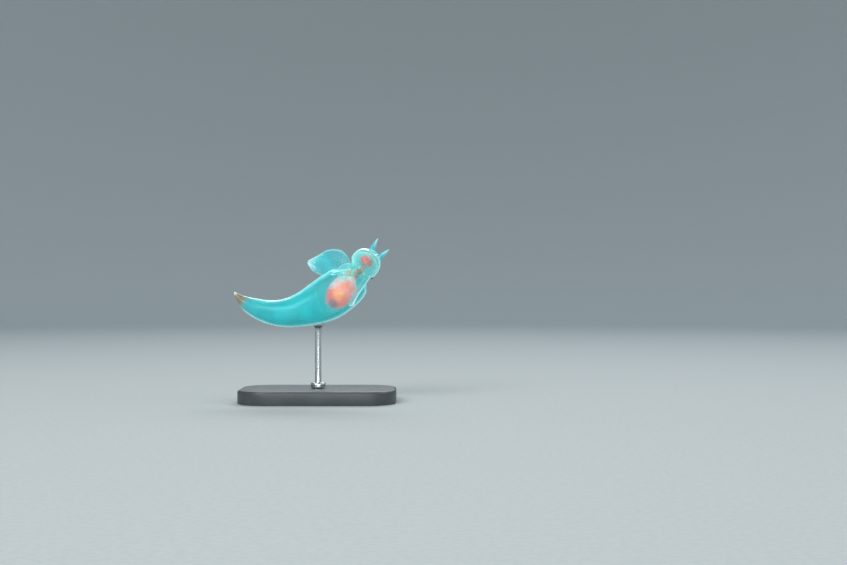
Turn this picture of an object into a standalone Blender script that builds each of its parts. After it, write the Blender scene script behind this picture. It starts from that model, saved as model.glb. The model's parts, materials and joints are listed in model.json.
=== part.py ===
"""Sea angel, a naked swimming sea snail, as a still life-size model on a plain display stand.

The body is one bent spindle whose midline lies in the XZ plane, with the head up toward +X and the tail
at -X. The belly is rolled halfway from -Y toward the upper side, so that -Y sees it obliquely from below.
The origin is the middle of the stand's underside. Units are metres, +Z up.
"""

import math

import bmesh
import bpy
import numpy as np
from mathutils import Matrix, Vector

MM = 0.001

# Gap that touching solids keep
GAP = 0.3 * MM

# Body: distances run along the midline from the tail tip
BODY_LENGTH = 49.8 * MM
TAIL_TIP = Vector((-24.8, 0.0, 32.5)) * MM
BELLY_ROLL = math.radians(45)
# Distance from the tail tip in mm, and the midline's rise above +X there in degrees
HEADINGS = ((0, -58), (5, -31), (12, -12), (20, 13), (28, 26), (36, 39), (42, 51), (50, 50))
# Distance from the tail tip, and the body's half width and its shift toward the back there, in mm
OUTLINE = (
    (0.0, 0.1, 0), (1.0, 0.62, 0), (2.4, 1.15, 0), (4.2, 1.85, 0), (6.5, 2.5, 0), (9.3, 3.05, 0),
    (12.3, 3.55, 0), (15.4, 4.0, 0), (19.3, 4.6, 0), (23.3, 5.35, 0), (27.0, 6.15, 0), (31.0, 6.65, 0),
    (34.5, 6.55, 0), (37.0, 6.3, 0.05), (38.1, 5.75, 0.6), (38.9, 5.1, 1.2), (39.9, 4.6, 1.2),
    (40.9, 3.8, 0.6), (41.8, 3.5, 0.35), (42.6, 3.5, 0.5), (43.5, 3.85, 0.5), (44.4, 4.35, 0.15),
    (45.3, 4.5, 0),
)
ACROSS = 1.03
THROUGH = 0.97

# Head: its front half is a blunt dome
HEAD_CENTRE = 45.3 * MM
HEAD_HALF_WIDTH = 4.5 * MM
HEAD_FRONT = BODY_LENGTH - HEAD_CENTRE
HEAD_BLUNTNESS = 2.4

# Where the body is parted into nodes, in mm from the tail tip
SECTIONS = (
    ("tail_tip", 0.0, 4.2),
    ("tail", 4.2, 13.0),
    ("trunk_rear", 13.0, 22.0),
    ("trunk_middle", 22.0, 31.0),
    ("trunk_front", 31.0, 39.1),
    ("neck", 39.1, 41.9),
    ("head", 41.9, 49.8),
)
SIDES = 36
RING_SPACING = 1.1 * MM
DOME_RINGS = 8

# Mouth: an upright slit between two lips, leaning back toward the belly. Sizes are out, across and down.
MOUTH_DROP = 0.55 * MM
MOUTH_LEAN = 0.25
MOUTH_SIZE = Vector((0.9, 0.2, 1.75)) * MM
MOUTH_OUT = 0.1 * MM
LIP_OFFSET = 0.62 * MM
LIP_SINK = 0.35 * MM
LIP_SIZE = Vector((0.75, 0.72, 2.1)) * MM

# Front tentacles, beside the mouth
FEELER_OFFSET = 2.3 * MM
FEELER_RISE = 0.8 * MM
FEELER_LENGTHS = {1: 4.7 * MM, -1: 4.1 * MM}
FEELER_ROOT_RADIUS = 1.1 * MM
FEELER_TIP_RADIUS = 0.2 * MM
FEELER_SPREAD = 0.2
FEELER_TILT = -0.02
FEELER_BEND = 0.3 * MM
FEELER_TAPER = 1.15
FEELER_SINK = 1.6 * MM
FEELER_STEPS = 9

# Rear tentacles on the nape, each with an eye on its end
NAPE_AT = 43.2 * MM
NAPE_ANGLE = math.radians(13)
STUB_HEIGHT = 0.8 * MM
STUB_SINK = 1.2 * MM
STUB_ROOT_RADIUS = 0.62 * MM
STUB_TIP_RADIUS = 0.44 * MM
STUB_LEAN = 0.25
STUB_SIDES = 14
STUB_STEPS = 5
EYE_RADIUS = 0.42 * MM
EYE_RINGS = 4

# Wings: outlines in mm, ahead and outward of the root, in the plane of the blade
WING_AT = 40.4 * MM
WING_ROOT = Vector((0.0, 4.2, -0.2)) * MM
WING_SLOPE = math.radians(44)
LEADING_EDGE = (
    (0.0, 1.5, -2.6), (0.12, 2.2, 0.4), (0.28, 3.5, 3.5), (0.45, 3.0, 6.4), (0.62, 0.8, 8.6),
    (0.8, -2.2, 9.8), (0.93, -4.4, 10.6), (1.0, -5.6, 11.0),
)
TRAILING_EDGE = (
    (0.0, -1.6, -2.6), (0.12, -2.1, -0.4), (0.28, -3.7, 1.8), (0.45, -5.4, 3.9), (0.62, -6.5, 6.0),
    (0.8, -6.9, 8.3), (0.93, -6.5, 10.0), (1.0, -6.0, 10.8),
)
WING_ROWS = 16
WING_COLUMNS = 8
WING_ROOT_THICKNESS = 1.5 * MM
WING_EDGE_THICKNESS = 0.5 * MM
WING_FLESHY_SHARE = 0.55
WING_SWELL = 0.25
WING_LAG = 2.1 * MM
WING_REACH = 13.0 * MM
WING_CAMBER = 0.45 * MM

# Foot: two ear-like side lobes and a pointed middle lobe, under the neck
SIDE_LOBE_AT = 40.4 * MM
SIDE_LOBE_ANGLE = math.radians(40)
SIDE_LOBE_RADIUS = 3.45 * MM
SIDE_LOBE_SIZE = Vector((2.6, 0.65, 1.75)) * MM
SIDE_LOBE_TOE = math.radians(18)
SIDE_LOBE_FLARE = math.radians(12)
MIDDLE_LOBE_FROM = (41.3 * MM, 2.9 * MM)
MIDDLE_LOBE_TO = (35.6 * MM, 7.2 * MM)
# Share of the tongue's length, and its half width there in mm
MIDDLE_LOBE_WIDTHS = ((0.0, 0.9), (0.4, 1.15), (0.78, 0.8), (1.0, 0.32))
MIDDLE_LOBE_THINNESS = 0.5
MIDDLE_LOBE_STEPS = 9

# Stand
BASE_LENGTH = 46.0 * MM
BASE_WIDTH = 30.0 * MM
BASE_HEIGHT = 4.0 * MM
BASE_CORNER = 9.0 * MM
BASE_CORNER_STEPS = 7
BASE_BEVEL = 0.7 * MM
ROD_RADIUS = 0.95 * MM
COLLAR_RADIUS = 2.2 * MM
COLLAR_HEIGHT = 1.4 * MM
CRADLE_RADIUS = 1.9 * MM
CRADLE_HEIGHT = 2.2 * MM
ROD_SIDES = 28

FRONT = Vector((0, -1, 0))
# How far past its last section a pointed bar ends, as a share of the radius there
POLE_RISE = 0.6


def clear_scene():
    for obj in list(bpy.data.objects):
        bpy.data.objects.remove(obj, do_unlink=True)


def material(name, colour, roughness, metallic=0.0, alpha=1.0):
    made = bpy.data.materials.new(name)
    made.use_nodes = True
    shader = made.node_tree.nodes["Principled BSDF"]
    shader.inputs["Base Color"].default_value = (*colour, 1)
    shader.inputs["Roughness"].default_value = roughness
    shader.inputs["Metallic"].default_value = metallic
    shader.inputs["Alpha"].default_value = alpha
    made.diffuse_color = (*colour, alpha)
    return made


def smooth(points, x, column=1):
    """Value at x of a smooth curve through the points, by cubic pieces that share their slopes."""
    xs = [p[0] for p in points]
    ys = [p[column] for p in points]
    last = len(xs) - 1
    x = min(max(x, xs[0]), xs[-1])
    i = max(k for k in range(last) if xs[k] <= x)

    def slope(k):
        low, high = max(k - 1, 0), min(k + 1, last)
        return (ys[high] - ys[low]) / (xs[high] - xs[low])

    width = xs[i + 1] - xs[i]
    t = (x - xs[i]) / width
    return (
        (2 * t**3 - 3 * t**2 + 1) * ys[i]
        + (t**3 - 2 * t**2 + t) * width * slope(i)
        + (3 * t**2 - 2 * t**3) * ys[i + 1]
        + (t**3 - t**2) * width * slope(i + 1)
    )


def heading(distance):
    return math.radians(smooth(HEADINGS, distance / MM))


def walk_midline(steps=500):
    """Distances along the midline and the points there, found by adding up short straight steps."""
    length = BODY_LENGTH / steps
    points = [TAIL_TIP.copy()]
    for i in range(steps):
        angle = heading((i + 0.5) * length)
        points.append(points[-1] + Vector((math.cos(angle), 0, math.sin(angle))) * length)
    return np.linspace(0, BODY_LENGTH, steps + 1), np.array(points)


DISTANCES, MIDLINE = walk_midline()


def frame(distance):
    """Midline point, and the animal's unit vectors ahead, to its right and toward its belly there."""
    point = Vector([float(np.interp(distance, DISTANCES, MIDLINE[:, axis])) for axis in range(3)])
    angle = heading(distance)
    ahead = Vector((math.cos(angle), 0, math.sin(angle)))
    upper = Vector((-math.sin(angle), 0, math.cos(angle)))
    right = upper * math.cos(BELLY_ROLL) - FRONT * math.sin(BELLY_ROLL)
    belly = FRONT * math.cos(BELLY_ROLL) + upper * math.sin(BELLY_ROLL)
    return point, ahead, right, belly


def from_body(distance, offset):
    """World point at an offset ahead, right and toward the belly of the midline point at that distance."""
    point, ahead, right, belly = frame(distance)
    return point + ahead * offset[0] + right * offset[1] + belly * offset[2]


def half_width(distance):
    if distance <= HEAD_CENTRE:
        return smooth(OUTLINE, distance / MM) * MM
    share = min((distance - HEAD_CENTRE) / HEAD_FRONT, 1.0)
    return HEAD_HALF_WIDTH * (1 - share**HEAD_BLUNTNESS) ** (1 / HEAD_BLUNTNESS)


def shift_to_back(distance):
    return smooth(OUTLINE, distance / MM, 2) * MM


def turns(sides):
    return [2 * math.pi * k / sides for k in range(sides)]


def ring(distance, grow=0.0):
    """Points round the body at that distance."""
    point, _, right, belly = frame(distance)
    point -= belly * shift_to_back(distance)
    radius = half_width(distance) + grow
    wide = right * radius * ACROSS
    deep = belly * radius * THROUGH
    return [point + wide * math.cos(t) + deep * math.sin(t) for t in turns(SIDES)]


def body_distances(start, end):
    """Where the rings of a stretch go: evenly spaced, and closer toward the pole on the dome of the head."""
    straight_end = min(end, HEAD_CENTRE)
    count = max(2, round((straight_end - start) / RING_SPACING))
    places = [start + (straight_end - start) * k / count for k in range(count + 1)]
    if end > HEAD_CENTRE:
        angles = [math.pi / 2 * k / DOME_RINGS for k in range(1, DOME_RINGS + 1)]
        places += [HEAD_CENTRE + HEAD_FRONT * math.sin(a) for a in angles]
    return places


def add_object(name, bm, finish):
    """Turns a bmesh into a smooth-shaded object with its faces pointing out."""
    bmesh.ops.recalc_face_normals(bm, faces=bm.faces)
    mesh = bpy.data.meshes.new(name)
    bm.to_mesh(mesh)
    bm.free()
    mesh.materials.append(finish)
    mesh.shade_smooth()
    mesh.set_sharp_from_angle(angle=math.radians(40))
    obj = bpy.data.objects.new(name, mesh)
    bpy.context.scene.collection.objects.link(obj)
    return obj


def loft(name, rings, finish):
    """Closed skin over rings of points. A ring of one point is a pole, and other end rings get a flat cap."""
    bm = bmesh.new()
    loops = [[bm.verts.new(p) for p in points] for points in rings]
    for near, far in zip(loops, loops[1:]):
        count = max(len(near), len(far))
        for k in range(count):
            here = [near[k % len(near)], near[(k + 1) % len(near)]] if len(near) > 1 else near
            there = [far[(k + 1) % len(far)], far[k % len(far)]] if len(far) > 1 else far
            bm.faces.new(here + there)
    for loop in (loops[0], loops[-1]):
        if len(loop) > 1:
            bm.faces.new(loop)
    return add_object(name, bm, finish)


def apply_modifiers(obj):
    """Replaces the mesh by the one that its modifiers make, and removes them."""
    graph = bpy.context.evaluated_depsgraph_get()
    made = bpy.data.meshes.new_from_object(obj.evaluated_get(graph))
    obj.modifiers.clear()
    obj.data = made


def keep_largest(obj):
    """Drops every closed surface but the largest, such as a scrap that a cut left behind."""
    bm = bmesh.new()
    bm.from_mesh(obj.data)
    waiting = set(bm.verts)
    islands = []
    while waiting:
        seed = waiting.pop()
        island, edge = {seed}, [seed]
        while edge:
            found = {e.other_vert(v) for v in edge for e in v.link_edges} - island
            island |= found
            edge = list(found)
        waiting -= island
        islands.append(island)
    islands.sort(key=len)
    bmesh.ops.delete(bm, geom=[v for island in islands[:-1] for v in island], context="VERTS")
    bm.to_mesh(obj.data)
    bm.free()


def fuse(obj, pieces):
    """Joins closed pieces to an object in one union, and removes them."""
    group = bpy.data.collections.new(obj.name + "_pieces")
    bpy.context.scene.collection.children.link(group)
    for piece in pieces:
        bpy.context.scene.collection.objects.unlink(piece)
        group.objects.link(piece)
    union = obj.modifiers.new("fuse", "BOOLEAN")
    union.operand_type = "COLLECTION"
    union.collection = group
    union.operation = "UNION"
    apply_modifiers(obj)
    for piece in pieces:
        bpy.data.objects.remove(piece)
    bpy.data.collections.remove(group)
    keep_largest(obj)


def cut(obj, cutter):
    """Takes the cutter's shape out of an object."""
    difference = obj.modifiers.new("cut", "BOOLEAN")
    difference.operation = "DIFFERENCE"
    difference.object = cutter
    apply_modifiers(obj)
    keep_largest(obj)


def ellipsoid(name, centre, axes, sizes, finish, segments=20, rings=12):
    """A sphere stretched to three half sizes along three unit vectors."""
    bm = bmesh.new()
    bmesh.ops.create_uvsphere(bm, u_segments=segments, v_segments=rings, radius=1)
    turn = Matrix([axes[0] * sizes[0], axes[1] * sizes[1], axes[2] * sizes[2]]).transposed().to_4x4()
    bmesh.ops.transform(bm, matrix=Matrix.Translation(centre) @ turn, verts=bm.verts)
    return add_object(name, bm, finish)


def round_bar(name, centres, radii, across, finish, sides=16, pole=True, flatten=1.0):
    """A tapered bar through centres. Flatten squashes its sections, and pole gives its far end a point."""
    rings = []
    for i, (centre, radius) in enumerate(zip(centres, radii)):
        along = (centres[min(i + 1, len(centres) - 1)] - centres[max(i - 1, 0)]).normalized()
        side = (across - along * across.dot(along)).normalized() * radius
        up = along.cross(side) * flatten
        rings.append([centre + side * math.cos(t) + up * math.sin(t) for t in turns(sides)])
    if pole:
        tip = centres[-1] + (centres[-1] - centres[-2]).normalized() * radii[-1] * POLE_RISE
        rings.append([tip])
    return loft(name, rings, finish)


def body_cutter(finish):
    """The whole body, grown by the gap, for cutting what grows from it."""
    rings = [ring(d, GAP) for d in body_distances(2 * GAP, BODY_LENGTH)[:-1]]
    front, ahead, _, _ = frame(BODY_LENGTH)
    rings.append([front + ahead * GAP])
    return loft("body_cutter", rings, finish)


def body_section(name, start, end, finish):
    """One length of the body between two flat cuts, half a gap short at each cut."""
    is_tip, is_front = name == SECTIONS[0][0], name == SECTIONS[-1][0]
    low = 0 if is_tip else start * MM + GAP / 2
    high = BODY_LENGTH if is_front else end * MM - GAP / 2
    rings = [ring(d) for d in body_distances(low, high)]
    if is_tip:
        rings[0] = [frame(0)[0]]
        rings.insert(1, ring(GAP))
    if is_front:
        rings[-1] = [frame(BODY_LENGTH)[0]]
    return loft(name, rings, finish)


def shape_mouth(head, finish):
    """Adds two lips to the front of the head and cuts the mouth's slit between them."""
    _, ahead, right, belly = frame(HEAD_CENTRE)
    down = (belly - ahead * MOUTH_LEAN).normalized()
    out = (ahead + belly * MOUTH_LEAN).normalized()
    lips = []
    for side in (1, -1):
        place = from_body(HEAD_CENTRE, (HEAD_FRONT - LIP_SINK, side * LIP_OFFSET, MOUTH_DROP))
        lips.append(ellipsoid("lip", place, (out, right, down), LIP_SIZE, finish))
    fuse(head, lips)
    place = from_body(HEAD_CENTRE, (HEAD_FRONT + MOUTH_OUT, 0, MOUTH_DROP))
    slit = ellipsoid("slit", place, (out, right, down), MOUTH_SIZE, finish)
    cut(head, slit)
    bpy.data.objects.remove(slit)


def front_tentacle(side, cutter, finish):
    """A short cone that leans outward and toward the belly, bending slightly on its way."""
    _, ahead, right, belly = frame(HEAD_CENTRE)
    share = math.hypot(FEELER_OFFSET, FEELER_RISE) / HEAD_HALF_WIDTH
    surface = HEAD_FRONT * (1 - share**HEAD_BLUNTNESS) ** (1 / HEAD_BLUNTNESS)
    root = from_body(HEAD_CENTRE, (surface, side * FEELER_OFFSET, -FEELER_RISE))
    lean = (ahead + right * side * FEELER_SPREAD + belly * FEELER_TILT).normalized()
    length = FEELER_LENGTHS[side]
    growth = FEELER_ROOT_RADIUS - FEELER_TIP_RADIUS
    centres, radii = [], []
    for k in range(FEELER_STEPS + 1):
        along = -FEELER_SINK + (length + FEELER_SINK) * k / FEELER_STEPS
        share = max(along / length, 0)
        centres.append(root + lean * along + right * side * FEELER_BEND * share**2)
        radii.append(FEELER_TIP_RADIUS + growth * (1 - share) ** FEELER_TAPER)
    name = "tentacle_front_right" if side > 0 else "tentacle_front_left"
    tentacle = round_bar(name, centres, radii, right, finish)
    cut(tentacle, cutter)


def rear_tentacle(side, cutter, flesh, pigment):
    """A stub on the nape and the small dark eye on its end."""
    _, ahead, right, belly = frame(NAPE_AT)
    out = (right * side * math.sin(NAPE_ANGLE) - belly * math.cos(NAPE_ANGLE)).normalized()
    root = from_body(NAPE_AT, (0, 0, 0)) + out * half_width(NAPE_AT)
    lean = (out + ahead * STUB_LEAN).normalized()
    centres, radii = [], []
    for k in range(STUB_STEPS + 1):
        height = -STUB_SINK + (STUB_HEIGHT + STUB_SINK) * k / STUB_STEPS
        centres.append(root + lean * height)
        share = max(height / STUB_HEIGHT, 0)
        radii.append(STUB_ROOT_RADIUS + (STUB_TIP_RADIUS - STUB_ROOT_RADIUS) * share)
    end = "right" if side > 0 else "left"
    stub = round_bar("tentacle_rear_" + end, centres, radii, ahead, flesh, sides=STUB_SIDES, pole=False)
    cut(stub, cutter)
    seat = root + lean * (STUB_HEIGHT + GAP)
    angles = [math.pi / 2 * k / EYE_RINGS for k in range(EYE_RINGS)]
    levels = [seat + lean * EYE_RADIUS * math.sin(a) for a in angles]
    across = [EYE_RADIUS * math.cos(a) for a in angles]
    round_bar("eye_" + end, levels, across, ahead, pigment, sides=STUB_SIDES)


def wing_point(side, along, across):
    """Point on the wing's middle surface: along from root to tip, across from leading to trailing edge."""
    lead = [smooth(LEADING_EDGE, along, column) * MM for column in (1, 2)]
    trail = [smooth(TRAILING_EDGE, along, column) * MM for column in (1, 2)]
    forward = lead[0] + (trail[0] - lead[0]) * across
    outward = lead[1] + (trail[1] - lead[1]) * across
    _, ahead, right, belly = frame(WING_AT)
    blade = right * side * math.cos(WING_SLOPE) + belly * math.sin(WING_SLOPE)
    back = right * side * math.sin(WING_SLOPE) - belly * math.cos(WING_SLOPE)
    root = from_body(WING_AT, (WING_ROOT.x, side * WING_ROOT.y, WING_ROOT.z))
    reach = math.hypot(forward, max(outward, 0)) / WING_REACH
    lift = WING_LAG * reach**2 + WING_CAMBER * 4 * across * (1 - across) * along
    return root + ahead * forward + blade * outward + back * lift


def wing_thickness(along, across):
    """Thick at the root and in the middle of the blade, thin at its edges."""
    fleshy = max(0.0, 1 - along / WING_FLESHY_SHARE) ** 1.6
    middle = WING_SWELL * 4 * across * (1 - across) * (1 - along)
    growth = WING_ROOT_THICKNESS - WING_EDGE_THICKNESS
    return WING_EDGE_THICKNESS + growth * min(1.0, fleshy + middle)


def wing(side, cutter, finish):
    """A triangulated sheet thickened to both faces alike, with its root cut to the shoulder it grows from."""
    bm = bmesh.new()
    grid, shares = [], []
    for i in range(WING_ROWS + 1):
        row = []
        for j in range(WING_COLUMNS + 1):
            along, across = i / WING_ROWS, j / WING_COLUMNS
            row.append(bm.verts.new(wing_point(side, along, across)))
            shares.append(wing_thickness(along, across) / WING_ROOT_THICKNESS)
        grid.append(row)
    for i in range(WING_ROWS):
        for j in range(WING_COLUMNS):
            a, b, c, d = grid[i][j], grid[i + 1][j], grid[i + 1][j + 1], grid[i][j + 1]
            bm.faces.new((a, b, c))
            bm.faces.new((a, c, d))
    sheet = add_object("wing_right" if side > 0 else "wing_left", bm, finish)
    group = sheet.vertex_groups.new(name="thickness")
    for index, share in enumerate(shares):
        group.add([index], share, "REPLACE")
    solidify = sheet.modifiers.new("thicken", "SOLIDIFY")
    solidify.thickness = WING_ROOT_THICKNESS
    solidify.offset = 0
    solidify.vertex_group = "thickness"
    solidify.use_even_offset = False
    apply_modifiers(sheet)
    cut(sheet, cutter)


def side_lobe(side, cutter, finish):
    """An ear-like flap that stands out from the side of the neck's underside and opens backward."""
    _, ahead, right, belly = frame(SIDE_LOBE_AT)
    out = belly * math.cos(SIDE_LOBE_ANGLE) + right * side * math.sin(SIDE_LOBE_ANGLE)
    wide = right * side * math.cos(SIDE_LOBE_ANGLE) - belly * math.sin(SIDE_LOBE_ANGLE)
    level = ahead * math.cos(SIDE_LOBE_TOE) - wide * math.sin(SIDE_LOBE_TOE)
    thick = wide * math.cos(SIDE_LOBE_TOE) + ahead * math.sin(SIDE_LOBE_TOE)
    along = level * math.cos(SIDE_LOBE_FLARE) - out * math.sin(SIDE_LOBE_FLARE)
    high = out * math.cos(SIDE_LOBE_FLARE) + level * math.sin(SIDE_LOBE_FLARE)
    place = from_body(SIDE_LOBE_AT, (0, 0, 0)) + out * SIDE_LOBE_RADIUS
    name = "foot_lobe_right" if side > 0 else "foot_lobe_left"
    lobe = ellipsoid(name, place, (along, thick, high), SIDE_LOBE_SIZE, finish)
    cut(lobe, cutter)


def middle_lobe(cutter, finish):
    """A pointed tongue under the neck, free of the trunk behind its root."""
    start, low = MIDDLE_LOBE_FROM
    end, high = MIDDLE_LOBE_TO
    centres, radii = [], []
    for k in range(MIDDLE_LOBE_STEPS + 1):
        t = k / MIDDLE_LOBE_STEPS
        centres.append(from_body(start + (end - start) * t, (0, 0, low + (high - low) * t**0.85)))
        radii.append(smooth(MIDDLE_LOBE_WIDTHS, t) * MM)
    right = frame(start)[2]
    lobe = round_bar("foot_lobe_middle", centres, radii, right, finish, flatten=MIDDLE_LOBE_THINNESS)
    cut(lobe, cutter)


def underside_height(x):
    """Height of the lowest point of the body above x."""
    heights = []
    for distance in DISTANCES:
        point, _, _, _ = frame(distance)
        reach = abs(point.x - x)
        radius = half_width(distance)
        if reach < radius:
            heights.append(point.z - math.sqrt(radius**2 - reach**2))
    return min(heights)


def round_off(bm, edges, offset, segments):
    bmesh.ops.bevel(bm, geom=edges, offset=offset, segments=segments, profile=0.5, affect="EDGES")


def stand_base(finish):
    """A flat plate with round corners and eased edges."""
    bm = bmesh.new()
    bmesh.ops.create_cube(bm, size=1)
    size = Matrix.Diagonal((BASE_LENGTH, BASE_WIDTH, BASE_HEIGHT, 1))
    bmesh.ops.transform(bm, matrix=Matrix.Translation((0, 0, BASE_HEIGHT / 2)) @ size, verts=bm.verts)
    corners = [e for e in bm.edges if abs(e.verts[0].co.z - e.verts[1].co.z) > BASE_HEIGHT / 2]
    round_off(bm, corners, BASE_CORNER, BASE_CORNER_STEPS)
    rims = [e for e in bm.edges if all(v.co.z > BASE_HEIGHT * 0.9 for v in e.verts)]
    round_off(bm, rims, BASE_BEVEL, 3)
    return add_object("stand_base", bm, finish)


def stand_rod(cutter, finish):
    """A slim rod with a collar on the base and a flared cradle under the trunk, cut to the trunk's shape."""
    foot = BASE_HEIGHT + GAP
    belly = underside_height(0)
    profile = (
        (COLLAR_RADIUS, foot),
        (COLLAR_RADIUS, foot + COLLAR_HEIGHT * 0.75),
        (COLLAR_RADIUS * 0.86, foot + COLLAR_HEIGHT),
        (ROD_RADIUS, foot + COLLAR_HEIGHT),
        (ROD_RADIUS, belly - CRADLE_HEIGHT),
        (ROD_RADIUS * 1.15, belly - CRADLE_HEIGHT * 0.6),
        (CRADLE_RADIUS * 0.82, belly - CRADLE_HEIGHT * 0.25),
        (CRADLE_RADIUS, belly + CRADLE_HEIGHT * 0.2),
        (CRADLE_RADIUS, belly + CRADLE_HEIGHT),
    )
    rings = [[Vector((r * math.cos(t), r * math.sin(t), z)) for t in turns(ROD_SIDES)] for r, z in profile]
    rod = loft("stand_rod", rings, finish)
    cut(rod, cutter)


def main():
    clear_scene()
    clear_flesh = material("clear_flesh", (0.42, 0.86, 0.88), 0.25, alpha=0.55)
    tail_pigment = material("tail_pigment", (0.62, 0.32, 0.14), 0.4)
    eye_pigment = material("eye_pigment", (0.03, 0.02, 0.02), 0.3)
    painted_plate = material("painted_plate", (0.06, 0.065, 0.07), 0.5)
    polished_rod = material("polished_rod", (0.72, 0.73, 0.74), 0.25, metallic=1.0)

    cutter = body_cutter(clear_flesh)
    for name, start, end in SECTIONS:
        section = body_section(name, start, end, tail_pigment if name == "tail_tip" else clear_flesh)
        if name == "head":
            shape_mouth(section, clear_flesh)
    for side in (1, -1):
        front_tentacle(side, cutter, clear_flesh)
        rear_tentacle(side, cutter, clear_flesh, eye_pigment)
        wing(side, cutter, clear_flesh)
        side_lobe(side, cutter, clear_flesh)
    middle_lobe(cutter, clear_flesh)
    stand_base(painted_plate)
    stand_rod(cutter, polished_rod)
    bpy.data.objects.remove(cutter)


main()
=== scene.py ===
# %% The frame
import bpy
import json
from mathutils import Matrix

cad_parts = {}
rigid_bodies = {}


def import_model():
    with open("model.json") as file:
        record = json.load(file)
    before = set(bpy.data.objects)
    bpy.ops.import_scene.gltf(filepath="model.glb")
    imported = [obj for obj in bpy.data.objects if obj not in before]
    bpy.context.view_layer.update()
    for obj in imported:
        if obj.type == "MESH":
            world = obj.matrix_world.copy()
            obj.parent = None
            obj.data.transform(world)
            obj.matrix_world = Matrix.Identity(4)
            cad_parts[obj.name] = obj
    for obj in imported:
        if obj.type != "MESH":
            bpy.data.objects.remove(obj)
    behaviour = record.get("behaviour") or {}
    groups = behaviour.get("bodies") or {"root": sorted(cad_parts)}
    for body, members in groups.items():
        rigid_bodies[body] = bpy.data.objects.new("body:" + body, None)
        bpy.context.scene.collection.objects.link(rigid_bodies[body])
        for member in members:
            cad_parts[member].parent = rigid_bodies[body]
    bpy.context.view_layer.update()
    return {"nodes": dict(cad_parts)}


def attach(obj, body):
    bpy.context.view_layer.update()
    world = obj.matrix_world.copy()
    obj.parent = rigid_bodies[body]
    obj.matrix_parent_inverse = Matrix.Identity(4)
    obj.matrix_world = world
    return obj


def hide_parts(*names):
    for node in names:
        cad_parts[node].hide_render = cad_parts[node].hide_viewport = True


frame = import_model()
print("nodes in the frame:", len(frame["nodes"]))

# %% [markdown]
# # A sea angel as a museum model
# A sea angel is a swimming sea snail without a shell. Its flesh is as clear as jelly, so what the eye
# reads is a bright rim, a soft aqua body, and the red and orange organs inside. The loaded frame holds
# the plain solids at real size. This script dresses them: one clear skin over all the flesh, the organs
# under it, the eyes, and a painted and turned steel stand.

# %% Modules and units
import functools
import json
import math

import bpy
import numpy as np
from mathutils import Matrix, Vector, noise
from mathutils.bvhtree import BVHTree
from mathutils.kdtree import KDTree

MM = 0.001
print("one millimetre is", MM, "of a Blender unit")

# %% [markdown]
# ## The body's line
# Everything hangs on the body's midline, a curve that turns only in the XZ plane. It is given by its
# slope at a few distances from the tail tip, and walked in short straight steps. The half width of the
# body at each distance is a second short list. Both repeat the sizes that the solids were built from.

# %% Midline and outline
BODY_LENGTH = 49.8
TAIL_TIP = Vector((-24.8, 0.0, 32.5))
BELLY_ROLL = math.radians(45)
HEADINGS = ((0, -58), (5, -31), (12, -12), (20, 13), (28, 26), (36, 39), (42, 51), (50, 50))
OUTLINE = (
    (0.0, 0.1, 0), (1.0, 0.62, 0), (2.4, 1.15, 0), (4.2, 1.85, 0), (6.5, 2.5, 0), (9.3, 3.05, 0),
    (12.3, 3.55, 0), (15.4, 4.0, 0), (19.3, 4.6, 0), (23.3, 5.35, 0), (27.0, 6.15, 0), (31.0, 6.65, 0),
    (34.5, 6.55, 0), (37.0, 6.3, 0.05), (38.1, 5.75, 0.6), (38.9, 5.1, 1.2), (39.9, 4.6, 1.2),
    (40.9, 3.8, 0.6), (41.8, 3.5, 0.35), (42.6, 3.5, 0.5), (43.5, 3.85, 0.5), (44.4, 4.35, 0.15),
    (45.3, 4.5, 0),
)
ACROSS = 1.03
THROUGH = 0.97
HEAD_CENTRE = 45.3
HEAD_HALF_WIDTH = 4.5
HEAD_FRONT = BODY_LENGTH - HEAD_CENTRE
HEAD_BLUNTNESS = 2.4
FRONT = Vector((0, -1, 0))
WALK_STEPS = 500


def smooth(points, x, column=1):
    """Value at x of a smooth curve through the points."""
    xs = [p[0] for p in points]
    ys = [p[column] for p in points]
    last = len(xs) - 1
    x = min(max(x, xs[0]), xs[-1])
    i = max(k for k in range(last) if xs[k] <= x)

    def slope(k):
        low, high = max(k - 1, 0), min(k + 1, last)
        return (ys[high] - ys[low]) / (xs[high] - xs[low])

    width = xs[i + 1] - xs[i]
    t = (x - xs[i]) / width
    return (
        (2 * t**3 - 3 * t**2 + 1) * ys[i]
        + (t**3 - 2 * t**2 + t) * width * slope(i)
        + (3 * t**2 - 2 * t**3) * ys[i + 1]
        + (t**3 - t**2) * width * slope(i + 1)
    )


def heading(distance):
    return math.radians(smooth(HEADINGS, distance))


def walk_midline():
    length = BODY_LENGTH / WALK_STEPS
    points = [TAIL_TIP.copy()]
    for i in range(WALK_STEPS):
        angle = heading((i + 0.5) * length)
        points.append(points[-1] + Vector((math.cos(angle), 0, math.sin(angle))) * length)
    return np.linspace(0, BODY_LENGTH, WALK_STEPS + 1), np.array(points)


DISTANCES, MIDLINE = walk_midline()
print("head end of the midline, mm:", MIDLINE[-1].round(2))

# %% [markdown]
# A place in the animal is easiest to name from the animal itself: so far from the tail tip, so far
# toward its right and toward its belly. One function turns that into a point of the scene.

# %% Places in the body


def axes_toward(angle):
    """Unit vectors ahead at an angle in the XZ plane, to the animal's right, and toward its belly."""
    ahead = Vector((math.cos(angle), 0, math.sin(angle)))
    upper = Vector((-math.sin(angle), 0, math.cos(angle)))
    right = upper * math.cos(BELLY_ROLL) - FRONT * math.sin(BELLY_ROLL)
    belly = FRONT * math.cos(BELLY_ROLL) + upper * math.sin(BELLY_ROLL)
    return ahead, right, belly


def axes_at(distance):
    return axes_toward(heading(distance))


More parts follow.
